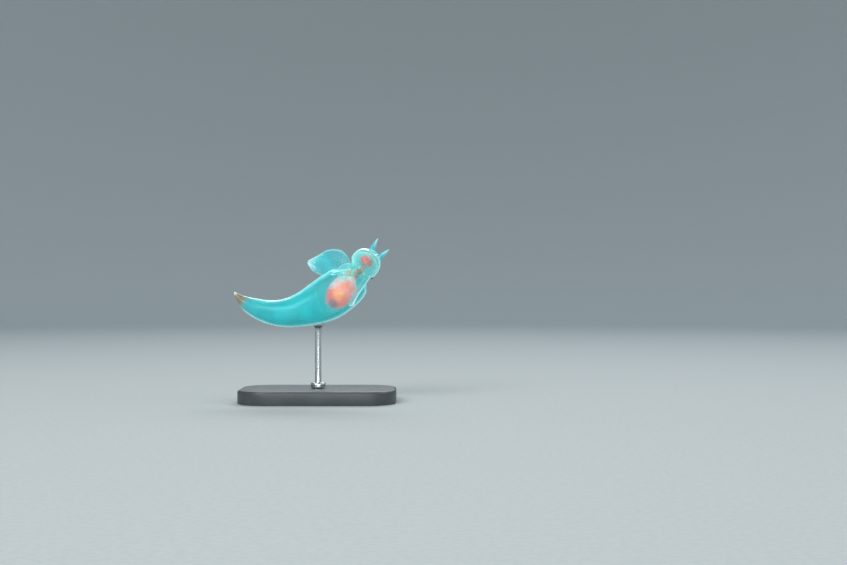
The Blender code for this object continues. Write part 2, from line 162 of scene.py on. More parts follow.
def place(distance, right=0.0, belly=0.0, ahead=0.0):
    """Scene point in mm from the tail tip, then right, toward the belly and ahead, in mm."""
    point = Vector([float(np.interp(distance, DISTANCES, MIDLINE[:, axis])) for axis in range(3)])
    along, to_right, to_belly = axes_at(distance)
    return (point + along * ahead + to_right * right + to_belly * belly) * MM


def seen(distance, upper=0.0, front=0.0):
    """The same for a spot in the picture: so far above the midline, and so far toward the camera."""
    side = math.sqrt(0.5)
    return place(distance, (upper - front) * side, (upper + front) * side)


def half_width(distance):
    if distance <= HEAD_CENTRE:
        return smooth(OUTLINE, distance)
    share = min((distance - HEAD_CENTRE) / HEAD_FRONT, 1.0)
    return HEAD_HALF_WIDTH * (1 - share**HEAD_BLUNTNESS) ** (1 / HEAD_BLUNTNESS)


def shift_to_back(distance):
    return smooth(OUTLINE, distance, 2)


print("neck, scene metres:", place(41.9))

# %% [markdown]
# ## Camera
# The camera stands level, at the height of the neck, and looks straight at the side of the animal
# through a 60 mm lens. The distance gives the animal the size that it has in the picture.

# %% Camera
LENS_MM = 60
SENSOR_MM = 36
CAMERA_PLACE = Vector((0.0311, -0.4167, 0.0352))

lens = bpy.data.cameras.new("camera")
lens.lens = LENS_MM
lens.sensor_width = SENSOR_MM
lens.clip_start = 0.01
lens.clip_end = 10
camera = bpy.data.objects.new("camera", lens)
camera.location = CAMERA_PLACE
camera.rotation_euler = (math.radians(90), 0, 0)
bpy.context.scene.collection.objects.link(camera)
bpy.context.scene.camera = camera
print("camera to animal, mm:", round(-CAMERA_PLACE.y / MM))

# %% [markdown]
# ## Making by hand
# Blender's operators act on whatever is selected, so each piece starts with nothing selected. A few
# small helpers keep the later cells short: start a piece from the primitive just added, leave its place
# in its mesh, and use up a modifier.

# %% Helpers for pieces


def deselect():
    bpy.ops.object.select_all(action="DESELECT")


def only(piece):
    """Makes this piece the one that is selected and active."""
    deselect()
    piece.select_set(True)
    bpy.context.view_layer.objects.active = piece


def start(name):
    """Names the primitive that was just added, and leaves its place and size in its mesh."""
    piece = bpy.context.object
    piece.name = piece.data.name = name
    bpy.ops.object.transform_apply(location=True, rotation=True, scale=True)
    return piece


def edit(piece):
    only(piece)
    bpy.ops.object.mode_set(mode="EDIT")
    bpy.ops.mesh.select_all(action="SELECT")


def leave_edit():
    bpy.ops.object.mode_set(mode="OBJECT")


def use_modifier(piece, kind, **settings):
    """Adds a modifier and applies it."""
    only(piece)
    made = piece.modifiers.new(kind.lower(), kind)
    for key, value in settings.items():
        setattr(made, key, value)
    bpy.ops.object.modifier_apply(modifier=made.name)


def join(pieces, name):
    """Makes the pieces one object. Its mesh is then several closed shells."""
    deselect()
    for piece in pieces:
        piece.select_set(True)
    bpy.context.view_layer.objects.active = pieces[0]
    bpy.ops.object.join()
    pieces[0].name = pieces[0].data.name = name
    return pieces[0]


def turn_to(right, up):
    """Turn that takes X to right and Z to up."""
    z = up.normalized()
    x = (right - z * right.dot(z)).normalized()
    return Matrix((x, z.cross(x), z)).transposed().to_4x4()


def set_down(piece, where, right, up):
    """Puts a piece modelled at the origin in its place: its X goes to right and its Z to up."""
    only(piece)
    piece.matrix_world = Matrix.Translation(where) @ turn_to(right, up)
    bpy.ops.object.transform_apply(location=True, rotation=True, scale=True)


def count_triangles(piece):
    return sum(len(p.vertices) - 2 for p in piece.data.polygons)


print("helpers ready")

# %% [markdown]
# ## The sweep
# A soft body of changing width is a disc that is extruded, moved, turned and resized, ring after ring.
# A curve with a taper would do too, but rings let the section be oval and keep every size in plain
# sight. In background mode the rotate operator takes its centre only from center_override.

# %% Sweep
LEAST_TURN = 1e-6
LEAST_RADIUS = 0.02


def sweep(name, sides, rings, wide=1.0, deep=1.0):
    """A closed body through rings of (centre in metres, heading, radius in mm)."""
    centre, angle, radius = rings[0]
    ahead, right, _ = axes_toward(angle)
    deselect()
    bpy.ops.mesh.primitive_circle_add(vertices=sides, radius=MM, fill_type="NGON")
    disc = bpy.context.object
    size = Matrix.Diagonal((radius * wide, radius * deep, 1, 1))
    disc.matrix_world = Matrix.Translation(centre) @ turn_to(right, ahead) @ size
    piece = start(name)
    edit(piece)
    for last, ring in zip(rings, rings[1:]):
        bpy.ops.mesh.extrude_region_move(TRANSFORM_OT_translate={"value": ring[0] - last[0]})
        turned = ring[1] - last[1]
        if abs(turned) > LEAST_TURN:
            bpy.ops.transform.rotate(value=turned, orient_axis="Y", center_override=ring[0])
        grow = ring[2] / last[2]
        bpy.ops.transform.resize(value=(grow, grow, grow), center_override=ring[0])
    leave_edit()
    return piece


SKIN_SIDES = 56
RING_STEP = 0.8
DOME_RINGS = 12
FIRST_RING = 0.02


def body_ring(distance, thinner=0.0):
    _, _, belly = axes_at(distance)
    centre = place(distance) - belly * shift_to_back(distance) * MM
    return centre, heading(distance), max(half_width(distance) - thinner, LEAST_RADIUS)


def whole_body(name, grow=0.0):
    """The trunk, neck and head in one, from the tail tip to the front of the head."""
    count = round(HEAD_CENTRE / RING_STEP)
    places = [FIRST_RING + (HEAD_CENTRE - FIRST_RING) * k / count for k in range(count + 1)]
    dome = [math.pi / 2 * k / DOME_RINGS for k in range(1, DOME_RINGS + 1)]
    places += [HEAD_CENTRE + HEAD_FRONT * math.sin(a) for a in dome]
    return sweep(name, SKIN_SIDES, [body_ring(d, -grow) for d in places], ACROSS, THROUGH)


body = whole_body("skin")
print("body rings:", len(body.data.vertices) // SKIN_SIDES)

# %% [markdown]
# ## Mouth and tentacles
# The mouth is an upright slit between two soft lips. Each lip is a ball stretched along the slit and
# sunk into the front of the head. The front tentacles are short horns: a disc pulled up ring by ring,
# each ring smaller and a little further out, so that the horn bends outward to its tip.

# %% Lips
MOUTH_DROP = 0.55
MOUTH_LEAN = 0.25
LIP_OFFSET = 0.62
LIP_SINK = 0.35
LIP_SIZE = (0.72, 2.1, 0.75)


def ball(name, where, right, up, size, segments=24, rings=16):
    """A ball stretched to three half sizes in mm, along right, its cross and up."""
    deselect()
    bpy.ops.mesh.primitive_uv_sphere_add(segments=segments, ring_count=rings, radius=MM, scale=size)
    piece = start(name)
    set_down(piece, where, right, up)
    return piece


head_ahead, head_right, head_belly = axes_at(HEAD_CENTRE)
mouth_out = (head_ahead + head_belly * MOUTH_LEAN).normalized()
lips = []
for side in (1, -1):
    lip_place = place(HEAD_CENTRE, side * LIP_OFFSET, MOUTH_DROP, HEAD_FRONT - LIP_SINK)
    lips.append(ball("lip", lip_place, head_right, mouth_out, LIP_SIZE))
print("lips:", len(lips))

# %% Front tentacles
HORN_OFFSET = 2.3
HORN_RISE = 0.8
HORN_LENGTHS = {1: 4.7, -1: 4.1}
HORN_ROOT = 1.1
HORN_TIP = 0.17
HORN_SPREAD = 0.2
HORN_TILT = -0.02
HORN_BEND = 0.3
HORN_TAPER = 1.15
HORN_SINK = 1.6
HORN_STEPS = 14


def pull_up(name, sides, steps):
    """A round bar from steps of (sideways, height, radius), in mm, standing at the origin."""
    rings = [(Vector((x, 0, z)) * MM, math.radians(90), radius) for x, z, radius in steps]
    return sweep(name, sides, rings)


def front_tentacle(side):
    share = math.hypot(HORN_OFFSET, HORN_RISE) / HEAD_HALF_WIDTH
    surface = HEAD_FRONT * (1 - share**HEAD_BLUNTNESS) ** (1 / HEAD_BLUNTNESS)
    root = place(HEAD_CENTRE, side * HORN_OFFSET, -HORN_RISE, surface)
    lean = head_ahead + head_right * side * HORN_SPREAD + head_belly * HORN_TILT
    length = HORN_LENGTHS[side]
    steps = []
    for k in range(HORN_STEPS + 1):
        height = -HORN_SINK + (length + HORN_SINK) * k / HORN_STEPS
        rise = min(max(height / length, 0), 1)
        radius = HORN_TIP + (HORN_ROOT - HORN_TIP) * (1 - rise) ** HORN_TAPER
        steps.append((HORN_BEND * rise**2, height, radius))
    horn = pull_up("horn", 20, steps)
    set_down(horn, root, head_right * side, lean)
    return horn


horns = [front_tentacle(side) for side in (1, -1)]
print("horn lengths, mm:", HORN_LENGTHS)

# %% Rear tentacles
NAPE_AT = 43.2
NAPE_ANGLE = math.radians(13)
STUB_HEIGHT = 0.8
STUB_SINK = 1.2
STUB_ROOT = 0.62
STUB_TIP = 0.44
STUB_LEAN = 0.25
STUB_STEPS = 5
EYE_RADIUS = 0.42


def nape(side):
    """Root and direction of a rear tentacle."""
    ahead, right, belly = axes_at(NAPE_AT)
    out = right * side * math.sin(NAPE_ANGLE) - belly * math.cos(NAPE_ANGLE)
    root = place(NAPE_AT) + out * half_width(NAPE_AT) * MM
    return root, (out + ahead * STUB_LEAN).normalized(), ahead


def rear_tentacle(side):
    root, lean, ahead = nape(side)
    steps = []
    for k in range(STUB_STEPS + 1):
        height = -STUB_SINK + (STUB_HEIGHT + STUB_SINK) * k / STUB_STEPS
        share = max(height / STUB_HEIGHT, 0)
        steps.append((0, height, STUB_ROOT + (STUB_TIP - STUB_ROOT) * share))
    stub = pull_up("stub", 16, steps)
    set_down(stub, root, ahead, lean)
    return stub


stubs = [rear_tentacle(side) for side in (1, -1)]
print("rear tentacles stand", STUB_HEIGHT, "mm high")

# %% [markdown]
# ## Wings
# A wing is a thin leaf with two curved edges, swept back and bent by its stroke. Extruding can't follow
# two edges at once, so this piece starts as a grid, its points are laid between the two edges by a short
# formula, and Solidify gives it its thickness: fleshy at the root, thin as a leaf at the edge.

# %% Wings
WING_AT = 40.4
WING_ROOT = (4.2, -0.2)
WING_SLOPE = math.radians(44)
LEADING_EDGE = (
    (0.0, 1.5, -2.6), (0.12, 2.2, 0.4), (0.28, 3.5, 3.5), (0.45, 3.0, 6.4), (0.62, 0.8, 8.6),
    (0.8, -2.2, 9.8), (0.93, -4.4, 10.6), (1.0, -5.6, 11.0),
)
TRAILING_EDGE = (
    (0.0, -1.6, -2.6), (0.12, -2.1, -0.4), (0.28, -3.7, 1.8), (0.45, -5.4, 3.9), (0.62, -6.5, 6.0),
    (0.8, -6.9, 8.3), (0.93, -6.5, 10.0), (1.0, -6.0, 10.8),
)
WING_ROWS = 40
WING_COLUMNS = 20
WING_THICK = 1.5
WING_THIN = 0.42
WING_FLESHY = 0.55
WING_SWELL = 0.22
WING_LAG = 2.1
WING_REACH = 13.0
WING_CAMBER = 0.45


def wing_axes(side):
    ahead, right, belly = axes_at(WING_AT)
    blade = right * side * math.cos(WING_SLOPE) + belly * math.sin(WING_SLOPE)
    back = right * side * math.sin(WING_SLOPE) - belly * math.cos(WING_SLOPE)
    root = place(WING_AT, side * WING_ROOT[0], WING_ROOT[1])
    return root, ahead, blade, back


def wing_point(side, along, across):
    """Point on the middle of the leaf: along from root to tip, across from leading to trailing edge."""
    lead = [smooth(LEADING_EDGE, along, column) for column in (1, 2)]
    trail = [smooth(TRAILING_EDGE, along, column) for column in (1, 2)]
    forward = lead[0] + (trail[0] - lead[0]) * across
    outward = lead[1] + (trail[1] - lead[1]) * across
    root, ahead, blade, back = wing_axes(side)
    reach = math.hypot(forward, max(outward, 0)) / WING_REACH
    lift = WING_LAG * reach**2 + WING_CAMBER * 4 * across * (1 - across) * along
    return root + (ahead * forward + blade * outward + back * lift) * MM


def wing_thickness(along, across):
    fleshy = max(0.0, 1 - along / WING_FLESHY) ** 1.6
    middle = WING_SWELL * 4 * across * (1 - across) * (1 - along)
    return WING_THIN + (WING_THICK - WING_THIN) * min(1.0, fleshy + middle)


def wing(side):
    deselect()
    bpy.ops.mesh.primitive_grid_add(x_subdivisions=WING_ROWS, y_subdivisions=WING_COLUMNS, size=1)
    leaf = start("wing")
    group = leaf.vertex_groups.new(name="thickness")
    for vertex in leaf.data.vertices:
        along, across = vertex.co.x + 0.5, vertex.co.y + 0.5
        vertex.co = wing_point(side, along, across)
        group.add([vertex.index], wing_thickness(along, across) / WING_THICK, "REPLACE")
    wall = {"thickness": WING_THICK * MM, "offset": 0, "use_even_offset": False}
    use_modifier(leaf, "SOLIDIFY", vertex_group="thickness", **wall)
    edit(leaf)
    bpy.ops.mesh.normals_make_consistent(inside=False)
    leave_edit()
    return leaf


wings = [wing(side) for side in (1, -1)]
print("wing triangles:", [count_triangles(leaf) for leaf in wings])

# %% [markdown]
# ## Foot
# What is left of a snail's foot sits under the neck: two ear-like side lobes and a pointed tongue
# between them. Each side lobe is a flattened ball, and the tongue a flattened bar that ends in a point.

# %% Foot lobes
LOBE_AT = 40.4
LOBE_ANGLE = math.radians(40)
LOBE_RADIUS = 3.45
LOBE_SIZE = (2.6, 0.65, 1.75)
LOBE_TOE = math.radians(18)
LOBE_FLARE = math.radians(12)
TONGUE_FROM = (41.3, 2.9)
TONGUE_TO = (35.6, 7.2)
TONGUE_WIDTHS = ((0.0, 0.9), (0.4, 1.15), (0.78, 0.8), (1.0, 0.32))
TONGUE_THINNESS = 0.5
TONGUE_STEPS = 12


def side_lobe(side):
    ahead, right, belly = axes_at(LOBE_AT)
    out = belly * math.cos(LOBE_ANGLE) + right * side * math.sin(LOBE_ANGLE)
    wide = right * side * math.cos(LOBE_ANGLE) - belly * math.sin(LOBE_ANGLE)
    level = ahead * math.cos(LOBE_TOE) - wide * math.sin(LOBE_TOE)
    along = level * math.cos(LOBE_FLARE) - out * math.sin(LOBE_FLARE)
    high = out * math.cos(LOBE_FLARE) + level * math.sin(LOBE_FLARE)
    return ball("lobe", place(LOBE_AT) + out * LOBE_RADIUS * MM, along, high, LOBE_SIZE)


def tongue():
    """The middle lobe: a bar from the neck back along the belly, free of the trunk at its tip."""
    _, right, _ = axes_at(TONGUE_FROM[0])
    first = place(TONGUE_FROM[0], 0, TONGUE_FROM[1])
    last = place(TONGUE_TO[0], 0, TONGUE_TO[1])
    length = (last - first).length / MM
    steps = []
    for k in range(TONGUE_STEPS + 1):
        t = k / TONGUE_STEPS
        steps.append((0, length * t, smooth(TONGUE_WIDTHS, t)))
    bar = pull_up("tongue", 20, steps)
    edit(bar)
    bpy.ops.transform.resize(value=(1, TONGUE_THINNESS, 1))
    leave_edit()
    set_down(bar, first, right, last - first)
    return bar


lobes = [side_lobe(side) for side in (1, -1)] + [tongue()]
print("foot lobes:", len(lobes))

# %% [markdown]
# ## One skin
# The body, lips, horns, wings and lobes still cross each other as separate shells. A voxel remesh turns
# them into one skin without inner walls, which matters here because clear flesh would show them. Before
# that, the script keeps a search tree of the body alone, of the wings and of all that grows out, so that
# each point of the new skin can be told what it belongs to.

# %% One skin
VOXEL = 0.17
SETTLE_ROUNDS = 4
FILLET_WIDTH = 0.95
FILLET_ROUNDS = 26


def search_tree(piece):
    vertices = [v.co.copy() for v in piece.data.vertices]
    faces = [tuple(p.vertices) for p in piece.data.polygons]
    return BVHTree.FromPolygons(vertices, faces)


def distances_to(tree, points):
    return np.array([tree.find_nearest(p)[3] for p in points]) / MM


body_tree = search_tree(body)
grown = join(horns + stubs + lips + lobes, "grown")
grown_tree = search_tree(grown)
leaves = join(wings, "leaves")
leaf_tree = search_tree(leaves)
skin = join([body, grown, leaves], "skin")
skin.vertex_groups.clear()
use_modifier(skin, "REMESH", mode="VOXEL", voxel_size=VOXEL * MM, use_smooth_shade=True)
use_modifier(skin, "SMOOTH", factor=0.5, iterations=SETTLE_ROUNDS)
print("skin triangles:", count_triangles(skin))

# %% [markdown]
# Where a wing or a lobe leaves the body, real flesh has no sharp corner. Points close to both surfaces
# go into a vertex group, and a second Smooth modifier works only there and rounds the joint.

# %% Rounded joints
LEAST_SHARE = 0.02


def points_of(piece):
    """The points of a mesh as rows of x, y, z in metres."""
    flat = np.empty(len(piece.data.vertices) * 3)
    piece.data.vertices.foreach_get("co", flat)
    return flat.reshape(-1, 3)


def move_points(piece, points):
    piece.data.vertices.foreach_set("co", points.astype(np.float32).ravel())
    piece.data.update()


def ease(values, low, high):
    """0 below low, 1 above high, and a soft step between them."""
    share = np.clip((values - low) / (high - low), 0, 1)
    return share * share * (3 - 2 * share)


skin_points = points_of(skin)
from_body = distances_to(body_tree, skin_points)
from_wing = distances_to(leaf_tree, skin_points)
from_grown = distances_to(grown_tree, skin_points)
near_joint = 1 - ease(np.maximum(from_body, np.minimum(from_wing, from_grown)), 0, FILLET_WIDTH)
in_joint = np.flatnonzero(near_joint > LEAST_SHARE)
fillet = skin.vertex_groups.new(name="fillet")
for index in in_joint:
    fillet.add([int(index)], float(near_joint[index]), "REPLACE")
use_modifier(skin, "SMOOTH", factor=0.5, iterations=FILLET_ROUNDS, vertex_group="fillet")
skin.vertex_groups.clear()
print("points in joints:", len(in_joint))

# %% [markdown]
# ## Where each point lies
# Muscle strands run along the body and round it, so their pattern has to follow the flesh and not the
# room. Each point of a piece is given its distance from the tail tip and its direction round the midline,
# stored as attributes that the materials read. Wings get their own pair of directions.

# %% Attributes
LIMB_STEP = (0.05, 0.6)
WING_STEP = (0.2, 0.45)
TINY = 1e-6

midline_tree = KDTree(len(MIDLINE))
for index, point in enumerate(MIDLINE):
    midline_tree.insert(Vector(point) * MM, index)
midline_tree.balance()
AXES = [axes_at(distance) for distance in DISTANCES]
AHEAD, RIGHT, BELLY = (np.array([axes[k] for axes in AXES]) for k in range(3))


def body_places(points):
    """For each point: mm from the tail tip, then mm to the right and toward the belly of the midline."""
    nearest = np.array([midline_tree.find(p)[1] for p in points])
    offset = points / MM - MIDLINE[nearest]
    along = DISTANCES[nearest] + (offset * AHEAD[nearest]).sum(1)
    return along, (offset * RIGHT[nearest]).sum(1), (offset * BELLY[nearest]).sum(1)


def give(piece, name, values):
    """Stores one number, or three, for each point of a piece."""
    kind, key = ("FLOAT", "value") if values.ndim == 1 else ("FLOAT_VECTOR", "vector")
    attribute = piece.data.attributes.new(name, kind, "POINT")
    attribute.data.foreach_set(key, values.astype(np.float32).ravel())


def give_places(piece):
    along, right, belly = body_places(points_of(piece))
    reach = np.maximum(np.hypot(right, belly), TINY)
    give(piece, "along", along)
    give(piece, "round", np.stack([right / reach, belly / reach, reach], 1))


skin_points = points_of(skin)
along, to_right, to_belly = body_places(skin_points)
limb = ease(distances_to(body_tree, skin_points), *LIMB_STEP)
in_wing = limb * (1 - ease(distances_to(leaf_tree, skin_points), *WING_STEP))
wing_place = np.zeros_like(skin_points)
for side in (1, -1):
    root, ahead, blade, _ = wing_axes(side)
    mine = to_right * side > 0
    offset = (skin_points[mine] - np.array(root)) / MM
    wing_place[mine, 0] = offset @ np.array(ahead)
    wing_place[mine, 1] = offset @ np.array(blade)
wing_place[:, 2] = in_wing
print("points in wings:", int((in_wing > 0.5).sum()))

# %% [markdown]
# ## Fine form
# Living flesh is never a clean tube. The points of the skin are pushed a little along their normals:
# a slit between the lips, soft folds round the neck, creases on the hollow side of the bent tail, a low
# ripple everywhere, and the two small pores behind the head on the right side. Sculpting by hand would do
# it too, but a push worked out for each point can be changed later by one number.

# %% Folds and creases
RIPPLE = 0.05
RIPPLE_SIZE = 2.4
RIPPLE_FROM = (2, 8)
WOBBLE_SIZE = 1.1
FOLD_DEPTH = 0.09
FOLD_SPACING = 0.95
FOLD_WOBBLE = 0.25
FOLD_RANGE = (39.6, 40.6, 43.0, 44.0)
CREASE_DEPTH = 0.055
CREASE_SPACING = 1.25
CREASE_WOBBLE = 0.5
CREASE_RANGE = (3, 7, 25, 31)
HOLLOW_SIDE = (0.35, 0.95)
SLIT_DEPTH = 0.75
SLIT_HALF_WIDTH = 0.24
SLIT_HALF_LENGTH = 1.7
SLIT_FROM = (BODY_LENGTH - 1.4, BODY_LENGTH - 0.6)
SLIT_ENDS = (0.7, 1.0)


def normals_of(piece):
    flat = np.empty(len(piece.data.vertices) * 3, np.float32)
    piece.data.vertex_normals.foreach_get("vector", flat)
    return flat.reshape(-1, 3)


def wave(distance, spacing):
    return 0.5 - 0.5 * np.cos(2 * np.pi * distance / spacing)


def within(values, start, full, fading, gone):
    """1 from full to fading, and soft steps down to 0 on both sides."""
    return ease(values, start, full) * (1 - ease(values, fading, gone))


def lumps(size):
    """Soft noise at each point of the skin, with blobs about size mm across."""
    return np.array([noise.noise(Vector(p) / (size * MM)) for p in skin_points])


reach = np.maximum(np.hypot(to_right, to_belly), TINY)
hollow = (to_right + to_belly) / reach / math.sqrt(2)
ripple, wobble = lumps(RIPPLE_SIZE), lumps(WOBBLE_SIZE)
push = RIPPLE * ripple * ease(along, *RIPPLE_FROM)
in_neck = within(along, *FOLD_RANGE) * (1 - limb)
push -= FOLD_DEPTH * in_neck * wave(along + FOLD_WOBBLE * wobble, FOLD_SPACING)
in_tail = within(along, *CREASE_RANGE) * ease(hollow, *HOLLOW_SIDE) * (1 - limb)
uneven = 0.4 + 0.6 * np.abs(ripple) * 2
push -= CREASE_DEPTH * in_tail * wave(along + CREASE_WOBBLE * wobble, CREASE_SPACING) * uneven
slit_x = to_right / SLIT_HALF_WIDTH
slit_y = (to_belly - MOUTH_DROP) / SLIT_HALF_LENGTH
in_front = ease(along, *SLIT_FROM)
push -= SLIT_DEPTH * in_front * np.exp(-slit_x**2) * (1 - ease(np.abs(slit_y), *SLIT_ENDS))
print("folds and slit push the skin by up to, mm:", round(float(np.abs(push).max()), 2))

# %% [markdown]
# A pore is a shallow dip inside a low rim. Each is given by its distance from the tail tip, its angle
# round the back from the right side, and its radius. The push then moves every point once.

# %% Pores
PORE_PLACES = ((37.6, 62, 0.34), (36.4, 78, 0.24))
PORE_DEPTH = 0.3
PORE_RIM = 0.16
RIM_AT = 1.5
RIM_WIDTH = 0.5

for distance, degrees, radius in PORE_PLACES:
    turn = math.radians(degrees)
    out = half_width(distance)
    spot = place(distance, out * math.cos(turn), -out * math.sin(turn) - shift_to_back(distance))
    far = np.linalg.norm(skin_points - np.array(spot), axis=1) / MM / radius
    push += PORE_RIM * np.exp(-((far - RIM_AT) / RIM_WIDTH) ** 2) - PORE_DEPTH * np.exp(-(far**2))
move_points(skin, skin_points + normals_of(skin) * push[:, None] * MM)
give(skin, "along", along)
give(skin, "round", np.stack([to_right / reach, to_belly / reach, limb], 1))
give(skin, "blade", wing_place)
print("skin moved by up to, mm:", round(float(np.abs(push).max()), 2))

# %% [markdown]
# The thin margins of wings, lobes and horns catch the light, so they are given a painted highlight, a pale
# colour, and more cover. Where the mesh curves sharply there is such a margin, so the curving is measured
# at each point, evened out over its neighbours, and stored too.

# %% Margins of the limbs
MARGIN_CURVES = (0.7, 1.5)
MARGIN_ROUNDS = 4


def sharpness_of(piece, rounds):
    """How strongly a mesh curves at each point, per mm, evened out over a few rounds of neighbours."""
    ends = np.empty(len(piece.data.edges) * 2, np.int64)
    piece.data.edges.foreach_get("vertices", ends)
    first, second = ends.reshape(-1, 2).T
    points, normals = points_of(piece) / MM, normals_of(piece)
    step = points[second] - points[first]
    bend = ((normals[second] - normals[first]) * step).sum(1) / (step**2).sum(1)
    ends = np.concatenate([first, second])
    count = np.bincount(ends, minlength=len(points))
    values = np.bincount(ends, np.concatenate([bend, bend]), len(points)) / count
    for _ in range(rounds):
        around = np.bincount(ends, np.concatenate([values[second], values[first]]), len(points)) / count
        values = (values + around) / 2
    return values


margin = ease(sharpness_of(skin, MARGIN_ROUNDS), *MARGIN_CURVES) * limb
give(skin, "margin", margin)
print("points in margins:", int((margin > 0.5).sum()))

# %% [markdown]
# ## Colours and shader nodes
# Colours are written as the hex values that a picker shows, which are sRGB. Shaders work in linear light,
# so one function converts them. One more function adds any node, sets it up and links it. A short word
# for each kind of node keeps the materials readable.

# %% Helpers for materials

# What a word stands for: the kind of node, the inputs that its values fill in turn, the output that is
# used or None for all of them, and the node's settings. A step goes softly from 0 to 1 while its value
# passes from one bound to the other, and between goes from low to high as a share goes from 0 to 1.
SOFT = {"interpolation_type": "SMOOTHSTEP"}
NODES = {
    "coordinates": ("TexCoord", (), "Object", {}),
    "mapping": ("Mapping", ("Vector", "Scale"), "Vector", {}),
    "number": ("Attribute", (), "Fac", {}),
    "three_numbers": ("Attribute", (), "Vector", {}),
    "split": ("SeparateXYZ", (0,), None, {}),
    "facing": ("LayerWeight", ("Blend",), "Facing", {}),
    "noise": ("TexNoise", ("Vector", "Scale", "Detail", "Distortion"), "Fac", {}),
    "cells": ("TexVoronoi", ("Vector", "Scale"), None, {}),
    "step": ("MapRange", ("Value", "From Min", "From Max", "To Min", "To Max"), "Result", SOFT),
    "between": ("MapRange", ("Value", "To Min", "To Max"), "Result", SOFT),
    "blend": ("Mix", (0, 6, 7), 2, {"data_type": "RGBA"}),
    "blend_values": ("Mix", (0, 2, 3), 0, {"data_type": "FLOAT"}),
    "tint": ("HueSaturation", ("Color", "Saturation", "Value"), "Color", {}),
    "offset": ("VectorMath", (0, 1), 0, {"operation": "SUBTRACT"}),
    "draw_out": ("VectorMath", (0, 1), 0, {"operation": "MULTIPLY"}),
    "length": ("VectorMath", (0,), "Value", {"operation": "LENGTH"}),
    "bump": ("Bump", ("Height", "Strength", "Distance"), "Normal", {}),
    "soak": ("VolumeAbsorption", ("Color", "Density"), 0, {}),
    "light": ("Emission", ("Color", "Strength"), 0, {}),
    "both": ("AddShader", (0, 1), 0, {}),
}
SUMS = {
    "sum": "ADD", "difference": "SUBTRACT", "product": "MULTIPLY", "power": "POWER", "sine": "SINE",
    "cosine": "COSINE", "angle": "ARCTAN2", "size": "ABSOLUTE", "larger": "MAXIMUM", "smaller": "MINIMUM",
}
for word, operation in SUMS.items():
    NODES[word] = ("Math", (0, 1), "Value", {"operation": operation})


def tone(code):
    """Linear colour of an sRGB hex value."""
    parts = [int(code[i : i + 2], 16) / 255 for i in (0, 2, 4)]
    return (*[p / 12.92 if p <= 0.04045 else ((p + 0.055) / 1.055) ** 2.4 for p in parts], 1.0)


def fill_in(made, inputs):
    """Gives inputs of a node a value each, or a link from another node's output."""
    for key, value in inputs.items():
        if isinstance(value, bpy.types.NodeSocket):
            made.id_data.links.new(value, made.inputs[key])
        else:
            made.inputs[key].default_value = value


def add_node(tree, word, *values, **more):
    """Adds the node that a word stands for, or a chain of them where a sum has more than two values."""
    kind, inputs, output, settings = NODES[word]
    if len(values) > len(inputs):
        values = (add_node(tree, word, *values[:-1]), values[-1])
    made = tree.nodes.new("ShaderNode" + kind)
    for key, value in {**settings, **more}.items():
        setattr(made, key, value)
    fill_in(made, dict(zip(inputs, values)))
    return made.outputs if output is None else made.outputs[output]


def places_in_mm(node):
    return node("mapping", node("coordinates"), (1 / MM, 1 / MM, 1 / MM))


def new_material(name):
    """A material, the function that adds nodes to it, its one shader, and places on the piece in mm."""
    made = bpy.data.materials.new(name)
    made.use_nodes = True
    node = functools.partial(add_node, made.node_tree)
    return made, node, made.node_tree.nodes["Principled BSDF"], places_in_mm(node)


def near(node, places, spot, core, edge, depth=1.0):
    """1 within core mm of a spot, and 0 from edge mm on. Depth below 1 draws the blob out along Y."""
    offset = node("offset", places, Vector(spot) / MM)
    distance = node("length", node("draw_out", offset, (1, depth, 1)))
    return node("step", distance, core, edge, 1.0, 0.0)


def dress(piece, material):
    piece.data.materials.clear()
    piece.data.materials.append(material)
    only(piece)
    bpy.ops.object.shade_smooth()


print("white in linear light:", tone("ffffff"))

# %% [markdown]
# ## Clear flesh
# The flesh is watery jelly, with the wet shine of skin. Seen face on it lets most light through, and seen
# edge on the eye looks along the wall, so it turns milky and bright. Glass would bend the organs out of
# shape in air, which the animal doesn't do in water, so this is a thin translucent film. Its cover rises
# toward the edge and along the thin margins of the limbs, and a sheen on the shader's own socket lights
# the rim. Where the eye looks straight in at the gut or the mouth parts, the film is clearest. It carries
# long muscle strands, faint ring muscles, a lattice of strands in the wings, and pale skin glands. On a
# real animal the strands and rings are about 0.2 mm apart. Here they are two to five times as far apart,
# and the glands are drawn at twice their real width, or none of them would show.

# %% Strands and windows
STRANDS_ROUND = 56
STRAND_SHARPNESS = 5.0
STRAND_SWAY = (3.2, 0.5)
RING_SPACING = 0.62
RING_SHARPNESS = 6.0
RING_SWAY = (2.0, 1.2)
GUT_RANGE = (23.0, 31.5, 40.6, 42.6)
GUT_FACING = (0.16, 0.62)
MOUTH_RANGE = (41.0, 42.8)
MOUTH_FACING = (0.0, 0.75)


def fine_lines(node, value, spacing, sharpness):
    """Thin bright lines where value is a whole number of spacings."""
    turn = node("product", value, math.pi / spacing)
    return node("power", node("size", node("cosine", turn)), sharpness)


def sway(node, places, size, reach):
    """Soft noise of blobs about size mm across, which pushes a line aside by up to reach."""
    return node("product", node("noise", places, 1 / size, 2.0), reach)


def angle_round(node):
    """Angle round the midline, and the third number that is stored with it."""
    to_right, to_belly, third = node("split", node("three_numbers", attribute_name="round"))
    return node("angle", to_belly, to_right), third


def muscle_strands(node, places):
    """Long strands along the body and faint rings round it, from the attributes of the mesh."""
    along = node("number", attribute_name="along")
    angle, third = angle_round(node)
    bent = node("sum", angle, sway(node, places, *STRAND_SWAY))
    strands = fine_lines(node, bent, 2 * math.pi / STRANDS_ROUND, STRAND_SHARPNESS)
    moved = node("sum", along, sway(node, places, *RING_SWAY))
    return along, third, strands, fine_lines(node, moved, RING_SPACING, RING_SHARPNESS)


